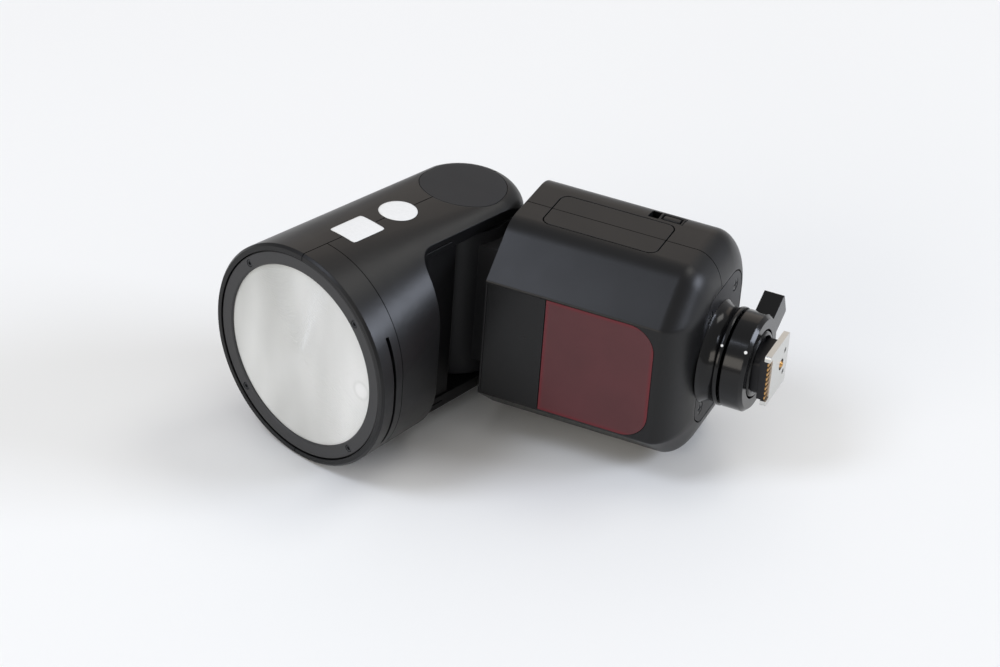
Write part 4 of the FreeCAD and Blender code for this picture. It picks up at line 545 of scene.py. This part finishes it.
def draw_in(piece, shrink_mm):
    """Scale about the box's middle so that each side moves in by its own number of millimetres."""
    flat = np.empty(len(piece.data.vertices) * 3)
    piece.data.vertices.foreach_get("co", flat)
    points = flat.reshape(-1, 3)
    low, high = points.min(axis=0), points.max(axis=0)
    middle, half = (low + high) / 2, (high - low) / 2
    points = middle + (points - middle) * (1 - np.array(shrink_mm) * mm / half)
    piece.data.vertices.foreach_set("co", points.ravel())
    piece.data.update()
    print(piece.name, "drawn in by", shrink_mm, "mm")


draw_in(skins["battery_case"], (0.12, 0.12, 0.0))
draw_in(skins["base_plate"], (0.0, 0.25, 0.25))

# %% [markdown]
# ## Surfaces from two parameters
# Every new piece is a grid of points worked out with numpy: one parameter runs round the piece
# and the other runs along its profile. The same function turns any such grid into a mesh. Rows at
# the two ends may close in a single point, as on a disc.

# %% Grid to mesh


def grid_piece(name, points, body, material, stands_for=(), closed=False,
               cap_first=False, cap_last=False):
    """points is rows x columns x 3. Columns always close round; closed joins the last row to the
    first. cap_first and cap_last fan the end rows to their middle. Corner k of a quad is the
    next point round, the next row, and back."""
    rows, columns = points.shape[:2]
    vertices = points.reshape(-1, 3)
    row = np.arange(rows if closed else rows - 1)[:, None]
    column = np.arange(columns)[None, :]
    here = row * columns + column
    beside = row * columns + (column + 1) % columns
    above = ((row + 1) % rows) * columns + column
    both = ((row + 1) % rows) * columns + (column + 1) % columns
    quads = np.stack([here, beside, both, above], axis=-1).reshape(-1, 4)
    faces = quads.tolist()
    around = np.arange(columns)
    if cap_first:
        vertices = np.vstack([vertices, points[0].mean(axis=0)])
        hub = np.full(columns, len(vertices) - 1)
        faces += np.stack([hub, (around + 1) % columns, around], axis=-1).tolist()
    if cap_last:
        vertices = np.vstack([vertices, points[-1].mean(axis=0)])
        hub = np.full(columns, len(vertices) - 1)
        last = (rows - 1) * columns
        faces += np.stack([hub, last + around, last + (around + 1) % columns], axis=-1).tolist()
    mesh = bpy.data.meshes.new(name)
    mesh.from_pydata(vertices.tolist(), [], faces)
    mesh.update()
    mesh.shade_smooth()
    mesh.set_sharp_from_angle(angle=math.radians(32))
    return add_object(name, mesh, body, material, stands_for)


def outward(piece):
    """Turn all faces of a closed piece outwards, and report its volume as a check."""
    work = bmesh.new()
    work.from_mesh(piece.data)
    if work.calc_volume(signed=True) < 0:
        bmesh.ops.reverse_faces(work, faces=work.faces)
    volume = work.calc_volume(signed=True)
    work.to_mesh(piece.data)
    work.free()
    print(piece.name, len(piece.data.polygons), "faces,", round(volume * 1e9, 1), "mm3")
    return piece


# %% [markdown]
# ## The ribbed lens
# A Fresnel lens folds a thick lens into many thin rings. Each ring is a small ramp and a step, so
# its profile is a sawtooth: the height climbs over one pitch and drops back. Turning that profile
# round the lens axis gives the sheet. The real pitch is near 0.3 mm; 0.5 mm keeps the rings
# visible at this picture's size.

# %% Ribbed lens
lens_back = 69.8
ring_pitch = 0.5
ring_depth = 0.07
turn = np.linspace(0, 2 * np.pi, 160, endpoint=False)
ring_count = int((lens_radius - 1.0) / ring_pitch)
ring_edges = 0.6 + ring_pitch * np.arange(ring_count)
radius = np.column_stack([ring_edges, ring_edges + ring_pitch * 0.9]).ravel()
height = np.column_stack([np.full(ring_count, lens_front - ring_depth),
                          np.full(ring_count, lens_front)]).ravel()
radius = np.concatenate([radius, [lens_radius, lens_radius, 0.6]])
height = np.concatenate([height, [lens_front, lens_back, lens_back]])
lens_points = on_head(height[:, None], radius[:, None] * np.cos(turn),
                      radius[:, None] * np.sin(turn))
outward(grid_piece("ribbed_lens", lens_points, "head", lens_acrylic, ["fresnel_lens"],
                   cap_first=True, cap_last=True))
print(ring_count, "rings on the lens")

# %% [markdown]
# ## Screws
# The four screws of the front ring have a hex socket, and the base plate's screws a cross recess.
# A screw head is a disc whose height dips where a point lies inside the recess, so its shape is a
# height function of radius and angle: for the hexagon the distance to the nearest flat, for the
# cross the smaller of the two coordinates.

# %% Screw heads


def screw_head(radius_mm, recess):
    """Rows go from the middle to the rim, down the side and in; returns outwards distance,
    angle and height, in millimetres, for a head whose top is at height 0."""
    angle = np.linspace(0, 2 * np.pi, 48, endpoint=False)[None, :]
    share = np.array([0.12, 0.3, 0.42, 0.48, 0.54, 0.6, 0.75, 0.92])[:, None]
    out = share * radius_mm * np.ones_like(angle)
    if recess == "hexagon":
        flat = out * np.cos((angle + np.pi / 6) % (np.pi / 3) - np.pi / 6)
        inside = flat < 0.5 * radius_mm
    else:
        thin = np.minimum(np.abs(out * np.cos(angle)), np.abs(out * np.sin(angle)))
        inside = (thin < 0.13 * radius_mm) & (out < 0.62 * radius_mm)
    level = np.where(inside, -0.35 * radius_mm, 0.0)
    side = np.array([[1.0, -0.08], [1.0, -0.7], [0.3, -0.7]])
    out = np.vstack([out, side[:, :1] * radius_mm * np.ones_like(angle)])
    level = np.vstack([level, side[:, 1:] * np.ones_like(angle)])
    return out, angle * np.ones_like(out), level


def screw_set(name, placed, body, stands_for, material):
    """Several heads from the same grid, each moved to its own place."""
    pieces = [outward(grid_piece(f"{name}_{i}", points, body, material, (), cap_first=True,
                                 cap_last=True)) for i, points in enumerate(placed)]
    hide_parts(stands_for)


ring_face, screw_circle = 72.5, 33.2
out, angle, level = screw_head(1.15, "hexagon")
ring_screws = [on_head(ring_face + level, screw_circle * math.cos(a) + out * np.cos(angle),
                       screw_circle * math.sin(a) + out * np.sin(angle))
               for a in np.radians([45, 135, 225, 315])]
screw_set("ring_screw", ring_screws, "head", "bezel_screws", dark_steel)

base_low, base_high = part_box("base_screws")
base_radius = 2.1
out, angle, level = screw_head(base_radius, "cross")
base_places = [(y, z) for y in (base_low.y / mm + base_radius, base_high.y / mm - base_radius)
               for z in (base_low.z / mm + base_radius, base_high.z / mm - base_radius)]
base_screws = [np.stack([base_high.x + level * mm, (y + out * np.cos(angle)) * mm,
                         (z + out * np.sin(angle)) * mm], axis=-1) for y, z in base_places]
screw_set("base_screw_head", base_screws, "body", "base_screws", dark_steel)

# %% [markdown]
# ## The dial and the set key
# The dial's rim has fine teeth for a fingertip. Its profile is turned round the dial's axis, and
# the outer radius also swings with the angle, which is all that a knurl is. The key in its middle
# is a disc with a shallow dish, so a finger finds its centre.

# %% Control dial
dial_pivot = np.array(joints["dial_spin"]["pos_m"]) / mm
dial_low, dial_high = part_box("control_dial")
dial_top, dial_foot = dial_high.y / mm, dial_low.y / mm
dial_radius = (dial_high.x - dial_low.x) / 2 / mm
tooth_count = 44
turn = np.linspace(0, 2 * np.pi, tooth_count * 6, endpoint=False)


def about_dial(out, high):
    """Point at a distance from the dial's axis and a height along Y, for every angle in turn."""
    out = np.broadcast_to(out, (len(high), len(turn)))
    return np.stack([(dial_pivot[0] + out * np.cos(turn)) * mm,
                     np.broadcast_to(np.asarray(high)[:, None], out.shape) * mm,
                     (dial_pivot[2] + out * np.sin(turn)) * mm], axis=-1)


profile = np.array([[7.6, dial_top - 0.5, 0], [7.9, dial_top - 0.12, 0], [8.3, dial_top, 0],
                    [10.4, dial_top, 0], [11.2, dial_top - 0.15, 0.3], [11.8, dial_top - 0.55, 1],
                    [dial_radius, dial_top - 1.1, 1], [dial_radius, dial_top - 2.7, 1],
                    [9.6, dial_top - 2.8, 0], [9.6, dial_foot, 0], [7.6, dial_foot, 0]])
knurl = -0.28 * np.abs(np.sin(tooth_count / 2 * turn))[None, :] * profile[:, 2:]
outward(grid_piece("knurled_dial", about_dial(profile[:, :1] + knurl, profile[:, 1]), "dial",
                   panel_abs, ["control_dial"], closed=True))

key_low, key_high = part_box("set_button")
key_top = key_high.y / mm
profile = np.array([[0.8, key_top - 0.42], [3.0, key_top - 0.36], [5.0, key_top - 0.12],
                    [5.9, key_top], [6.6, key_top - 0.08], [7.05, key_top - 0.4],
                    [7.2, key_top - 0.9], [7.2, key_low.y / mm]])
outward(grid_piece("dished_set_key", about_dial(profile[:, :1], profile[:, 1]), "set_key",
                   panel_abs, ["set_button"], cap_first=True, cap_last=True))

# %% [markdown]
# ## Rubber keys
# The keys are soft rectangles and discs with rolled edges. A superellipse gives both: its outline
# is a circle when the power is 2 and squarer as the power grows. The rows shrink it towards the
# middle for the top and keep it full for the side, which rolls the edge over.

# %% Key caps


def key_cap(name, node, body, power):
    """Outline radius at an angle = (|cos|^p + |sin|^p)^(-1/p), stretched to the key's size."""
    low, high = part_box(node)
    middle = (np.array(low) + np.array(high)) / 2 / mm
    step = 0.7
    half_x = (high.x - low.x) / 2 / mm - step
    half_z = (high.z - low.z) / 2 / mm - step
    angle = np.linspace(0, 2 * np.pi, 72, endpoint=False)
    shape = (np.abs(np.cos(angle)) ** power + np.abs(np.sin(angle)) ** power) ** (-1 / power)
    top = high.y / mm
    edge = 0.5
    rows = [(0.25, 0.10), (0.6, 0.06)]
    inset = [(edge * (1 - math.sin(t)), edge * (1 - math.cos(t)))
             for t in np.linspace(0, math.pi / 2, 5)]
    rings = [np.stack([half_x * share * shape * np.cos(angle), np.full(72, top - dip),
                       half_z * share * shape * np.sin(angle)], axis=-1) for share, dip in rows]
    for shrink, dip in inset + [(0, top - low.y / mm - 1.0)]:
        rings.append(np.stack([(half_x - shrink) * shape * np.cos(angle), np.full(72, top - dip),
                               (half_z - shrink) * shape * np.sin(angle)], axis=-1))
    for widen, level in ((step, low.y / mm + 1.0), (step, low.y / mm)):
        rings.append(np.stack([(half_x + widen) * shape * np.cos(angle), np.full(72, level),
                               (half_z + widen) * shape * np.sin(angle)], axis=-1))
    points = (np.array(rings) + np.array([middle[0], 0, middle[2]])) * mm
    return outward(grid_piece(name, points, body, key_rubber, [node],
                              cap_first=True, cap_last=True))


for number in range(1, 5):
    key_cap(f"function_cap_{number}", f"function_button_{number}", f"function_key_{number}", 5)
for node, body in (("mode_button", "mode_key"), ("wireless_button", "wireless_key"),
                   ("test_button", "test_key")):
    key_cap(node + "_cap", node, body, 2)
key_cap("switch_knob", "power_switch", "switch", 6)

# %% [markdown]
# ## The battery latch
# The latch is a slider that lies level with the shell. Its top is a shallow dish with a bar for
# the fingertip, which rings of the same superellipse give when their level falls and rises again
# on the way in. A flat guide under it is longer than the slot, so no hole opens on either side.

# %% Latch slider and guide
latch_low, latch_high = (np.array(corner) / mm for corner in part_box("battery_latch"))


def plan_rings(low, high, rows, power):
    """Each row is (inset, level): a superellipse in plan that fills the box less the inset."""
    angle = np.linspace(0, 2 * np.pi, 72, endpoint=False)
    shape = (np.abs(np.cos(angle)) ** power + np.abs(np.sin(angle)) ** power) ** (-1 / power)
    middle, half = (low + high) / 2, (high - low) / 2
    inset, level = np.array(rows).T[:, :, None]
    return np.stack([middle[0] + (half[0] - inset) * shape * np.cos(angle),
                     middle[1] + (half[1] - inset) * shape * np.sin(angle),
                     level + 0 * angle], axis=-1) * mm


top = latch_high[2]
dish = [(0, top - 2.6), (0, top - 0.25), (0.08, top - 0.08), (0.25, top), (0.6, top),
        (0.75, top - 0.15), (0.85, top - 0.9), (1.25, top - 0.9), (1.35, top - 0.2),
        (1.5, top - 0.05), (1.75, top)]
outward(grid_piece("latch_slider", plan_rings(latch_low + [1.0, 0.1, 0], latch_high - [1.4, 0.8, 0],
                                              dish, 12), "latch", shell_abs, ["battery_latch"],
                   cap_first=True, cap_last=True))
outward(grid_piece("latch_guide", plan_rings(latch_low - [3.1, 0, 0], latch_high,
                                             [(0, latch_low[2]), (0, latch_low[2] + 1.4)], 30),
                   "latch", shell_abs, cap_first=True,
                   cap_last=True))

# %% [markdown]
# ## Blank stickers
# Two white stickers lie across the head's parting line: a small rectangle and a disc, both plain
# paper. A Shrinkwrap modifier could lay a flat sheet on the shell, but it takes one target and
# the sheet crosses two shells, so the height under each point is worked out from their
# triangles, all at once, and a gap of a few hundredths of a millimetre is added.

# %% Stickers


def paper(name, colour):
    """Coated paper: off-white with a faint fibre mottle of about a millimetre."""
    material, tree, shader, place = new_material(name, Roughness=0.45, IOR=1.5)
    fibre = add_node(tree, "ShaderNodeTexNoise", {}, {"Vector": place, "Scale": 1000 / 0.9,
                                                      "Detail": 3.0})
    mix = add_node(tree, "ShaderNodeMix", {"data_type": "RGBA"}, {"Factor": fibre.outputs["Fac"]})
    mix.inputs["A"].default_value = linear(colour)
    mix.inputs["B"].default_value = linear("#f2f2f0")
    tree.links.new(mix.outputs["Result"], shader.inputs["Base Color"])
    return material


# Coated paper: bright, almost flat, and without shine.
sticker_paper = paper("coated_paper_sticker", "#e4e4e2")


def doubled_area(first, second):
    """Twice the signed area between two flat arrows: x1 times y2, less y1 times x2."""
    return first[..., 0] * second[..., 1] - first[..., 1] * second[..., 0]


def height_over(points, targets):
    """Highest z of the skins under each point. A point is inside a triangle seen from above when
    its three area shares are all positive, and the same shares average the corners' heights."""
    spots = points[..., :2].reshape(-1, 1, 2)
    best = np.full(len(spots), -1.0)
    for target in targets:
        mesh = target.data
        mesh.calc_loop_triangles()
        corners = np.empty(len(mesh.vertices) * 3)
        mesh.vertices.foreach_get("co", corners)
        index = np.empty(len(mesh.loop_triangles) * 3, int)
        mesh.loop_triangles.foreach_get("vertices", index)
        a, b, c = corners.reshape(-1, 3)[index.reshape(-1, 3)].transpose(1, 0, 2)
        area = doubled_area(b - a, c - a)
        flat = np.abs(area) > 1e-14
        a, b, c, area = a[flat], b[flat], c[flat], area[flat]
        share_a = doubled_area(b[:, :2] - spots, c[:, :2] - spots) / area
        share_b = doubled_area(c[:, :2] - spots, a[:, :2] - spots) / area
        share_c = 1 - share_a - share_b
        level = share_a * a[:, 2] + share_b * b[:, 2] + share_c * c[:, 2]
        inside = (share_a >= 0) & (share_b >= 0) & (share_c >= 0)
        best = np.maximum(best, np.where(inside, level, -1.0).max(axis=1))
    return best.reshape(points.shape[:-1])


head_skins = [skins["head_top_shell"], skins["head_bottom_shell"]]
paper_gap, paper_thickness = 0.06, 0.05


def sticker(name, along, towards_foot, half_long, half_wide, power):
    """A superellipse sheet in plan; each point's height is the shell's there, plus a small gap."""
    angle = np.linspace(0, 2 * np.pi, 64, endpoint=False)
    shape = (np.abs(np.cos(angle)) ** power + np.abs(np.sin(angle)) ** power) ** (-1 / power)
    share = np.linspace(0.08, 1.0, 12)[:, None]
    points = on_head(along + share * half_long * shape * np.cos(angle),
                     towards_foot + share * half_wide * shape * np.sin(angle), 0.0)
    points[..., 2] = height_over(points, head_skins) + paper_gap * mm
    piece = grid_piece(name, points, "head", sticker_paper, cap_first=True)
    thick = piece.modifiers.new("thickness", "SOLIDIFY")
    thick.thickness = paper_thickness * mm
    thick.offset = 1
    print(name, "lies up to", round(float(points[..., 2].max()) / mm, 2), "mm high")


sticker("blank_square_sticker", 48.0, -0.6, 7.0, 5.5, 16)
sticker("blank_round_sticker", 29.7, -0.6, 6.3, 6.3, 2)

# %% [markdown]
# ## The collar and the foot's rim
# Between the body and the lock ring sits a collar that flares out where it meets the base plate,
# and inside the ring the foot starts with a raised rim. Both are turned parts, so each is one
# closed profile of distances from the axis and places along it, carried round the axis. A groove
# beside the ring keeps a dark line there.

# %% Turned pieces of the foot


def about_foot(profile):
    """Point = place along X, and the radius times the cosine and sine of the angle in Y and Z."""
    angle = np.linspace(0, 2 * np.pi, 96, endpoint=False)
    along, out = np.array(profile).T[:, :, None] * mm
    return np.stack([along * np.ones_like(angle), out * np.cos(angle), out * np.sin(angle)],
                    axis=-1)


collar_low, collar_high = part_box("base_collar")
start, stem = collar_low.x / mm, collar_high.x / mm
collar = about_foot([
    (start, 6.0), (start, 17.4), (start + 0.35, 17.1), (start + 1.0, 16.55), (start + 2.0, 16.05),
    (start + 3.2, 15.8), (start + 4.4, 15.8), (start + 5.0, 15.95), (start + 5.35, 16.35),
    (start + 5.7, 16.5), (start + 6.5, 16.5), (start + 6.85, 16.3), (start + 6.95, 15.0),
    (start + 7.1, 9.0), (stem, 9.0), (stem, 6.0)])
outward(grid_piece("flared_collar", collar, "body", polished_acetal, ["base_collar"],
                   closed=True))
rim = about_foot([(-8.6, 8.4), (-8.6, 11.0), (-6.4, 11.0), (-5.9, 10.6), (-5.7, 9.9), (-6.3, 9.0),
                  (-7.6, 8.4)])
outward(grid_piece("foot_rim", rim, "body", polished_acetal,
                   closed=True))

# %% [markdown]
# ## Index dots
# A white dot on the lock ring meets one on the collar when the foot is unlocked. Each is a small
# painted disc on a cylinder: the angle round the foot is the dot's place plus its own width
# divided by the radius, so the disc bends with the surface.

# %% Index dots
dot_paint = paper("pad_printed_white", "#ededea")
paint_thickness = 0.03
dot_angle = 138


def index_dot(name, body, x_mm, radius_mm, angle_deg, size_mm):
    """Polar disc of the given size wrapped on the cylinder of radius_mm about the foot's axis."""
    angle = np.linspace(0, 2 * np.pi, 32, endpoint=False)
    share = np.linspace(0.2, 1.0, 4)[:, None]
    along = share * size_mm * np.cos(angle)
    round_it = math.radians(angle_deg) + share * size_mm * np.sin(angle) / radius_mm
    points = np.stack([(x_mm + along) * mm, radius_mm * np.cos(round_it) * mm,
                       radius_mm * np.sin(round_it) * mm], axis=-1)
    piece = grid_piece(name, points, body, dot_paint, cap_first=True)
    thick = piece.modifiers.new("paint", "SOLIDIFY")
    thick.thickness = paint_thickness * mm
    thick.offset = 1


index_dot("ring_index_dot", "ring", -7.6, 16.28, dot_angle, 0.55)
index_dot("collar_index_dot", "body", start + 6.1, 16.51, dot_angle, 0.45)
print("index dots on the ring and the collar")

# %% [markdown]
# ## The table
# The photo was taken on a white table, so a wide pale floor lies at the height of the lowest CAD
# point and takes the contact shadow.

# %% Floor
floor_low = cad_bounds[0][2]
floor_mesh = bpy.data.meshes.new("table")
reach = 4.0
floor_mesh.from_pydata([(-reach, -reach, floor_low), (reach, -reach, floor_low),
                        (reach, reach, floor_low), (-reach, reach, floor_low)], [], [(0, 1, 2, 3)])
table = bpy.data.objects.new("table", floor_mesh)
bpy.context.scene.collection.objects.link(table)
table_material, tree, shader, place = new_material("painted_table", Roughness=0.7,
                                                   Specular_IOR_Level=0.2)
shade = add_node(tree, "ShaderNodeTexNoise", {}, {"Vector": place, "Scale": 3.0, "Detail": 2.0})
mix = add_node(tree, "ShaderNodeMix", {"data_type": "RGBA"}, {"Factor": shade.outputs["Fac"]})
mix.inputs["A"].default_value = linear("#f2f2f0")
mix.inputs["B"].default_value = linear("#f6f6f4")
tree.links.new(mix.outputs["Result"], shader.inputs["Base Color"])
floor_mesh.materials.append(table_material)
print("table at", round(floor_low / mm, 2), "mm")

# %% [markdown]
# ## Light
# Black plastic shows its form only by what it mirrors, so each lamp stands where one of its faces
# sends the eye. The directions were worked out from the camera and the face's normal: the slanted
# front mirrors the lens side, the head's round flank mirrors a window on the right, the tops mirror
# the warm room behind, and a broad lamp above joins them. A front lamp lights the lens and keeps
# the shadows thin, and the world fills the rest evenly.

# %% World
scene = bpy.context.scene
world = bpy.data.worlds.new("daylight_room")
scene.world = world
world.use_nodes = True
tree = world.node_tree
background = tree.nodes["Background"]
background.inputs["Color"].default_value = linear("#f4f4f5")
background.inputs["Strength"].default_value = 0.52
print("world strength", background.inputs["Strength"].default_value)

# %% Lamps
object_middle = Vector([(a + b) / 2 for a, b in zip(*cad_bounds)])


def soft_lamp(name, direction, distance, width, height, watts, colour):
    """A rectangular lamp that looks at the object's middle from a direction."""
    data = bpy.data.lights.new(name, "AREA")
    data.shape = "RECTANGLE"
    data.size = width
    data.size_y = height
    data.energy = watts
    data.color = linear(colour)[:3]
    lamp = bpy.data.objects.new(name, data)
    way = Vector(direction).normalized()
    lamp.location = object_middle + way * distance
    lamp.rotation_euler = way.to_track_quat("Z", "Y").to_euler()
    scene.collection.objects.link(lamp)


soft_lamp("ceiling_light", (0.30, 0.44, 0.85), 3.0, 1.35, 1.0, 14.5, "#fffdf8")
soft_lamp("window_light", (0.82, 0.36, 0.40), 2.8, 1.15, 0.9, 39, "#e6eeff")
soft_lamp("front_light", (-0.30, -0.90, 0.34), 3.0, 2.0, 1.2, 23, "#fff7ec")
soft_lamp("lens_side_light", (-0.42, -0.40, 0.81), 1.6, 0.48, 0.62, 7.0, "#e6eeff")
soft_lamp("room_light", (-0.33, 0.80, 0.50), 3.0, 2.4, 1.8, 6, "#ffe9d2")
print(len(bpy.data.lights), "lamps round the object's middle")

# %% [markdown]
# ## Camera
# The camera stands where the photo was taken from. Its place comes from an azimuth, an elevation, a
# roll and a distance, found by matching the lens, the panel, the window and the sole with the
# photo, and its lens from the same fit.

# %% Camera
azimuth, elevation, roll = math.radians(21.73), math.radians(33.28), math.radians(4.35)
look_at = np.array([-0.063, 0.0, 0.0])
distance = 1.10483
side_step, up_step = -0.03177, -0.00819
back = np.array([math.sin(azimuth) * math.cos(elevation), -math.cos(azimuth) * math.cos(elevation),
                 math.sin(elevation)])
level_right = np.array([math.cos(azimuth), math.sin(azimuth), 0.0])
level_up = np.cross(level_right, -back)
right = math.cos(roll) * level_right + math.sin(roll) * level_up
up = -math.sin(roll) * level_right + math.cos(roll) * level_up
position = look_at + back * distance + right * side_step + up * up_step
camera_data = bpy.data.cameras.new("camera")
camera_data.lens = 122.17
camera_data.sensor_width = 36
camera_data.shift_x = 0.0011
camera_data.shift_y = 0.0076
camera_data.clip_end = 20
camera = bpy.data.objects.new("camera", camera_data)
columns = np.column_stack([right, up, back, position])
camera.matrix_world = Matrix(np.vstack([columns, [0, 0, 0, 1]]).tolist())
scene.collection.objects.link(camera)
scene.camera = camera
scene.view_settings.view_transform = "Standard"
print("camera at", np.round(position, 3))
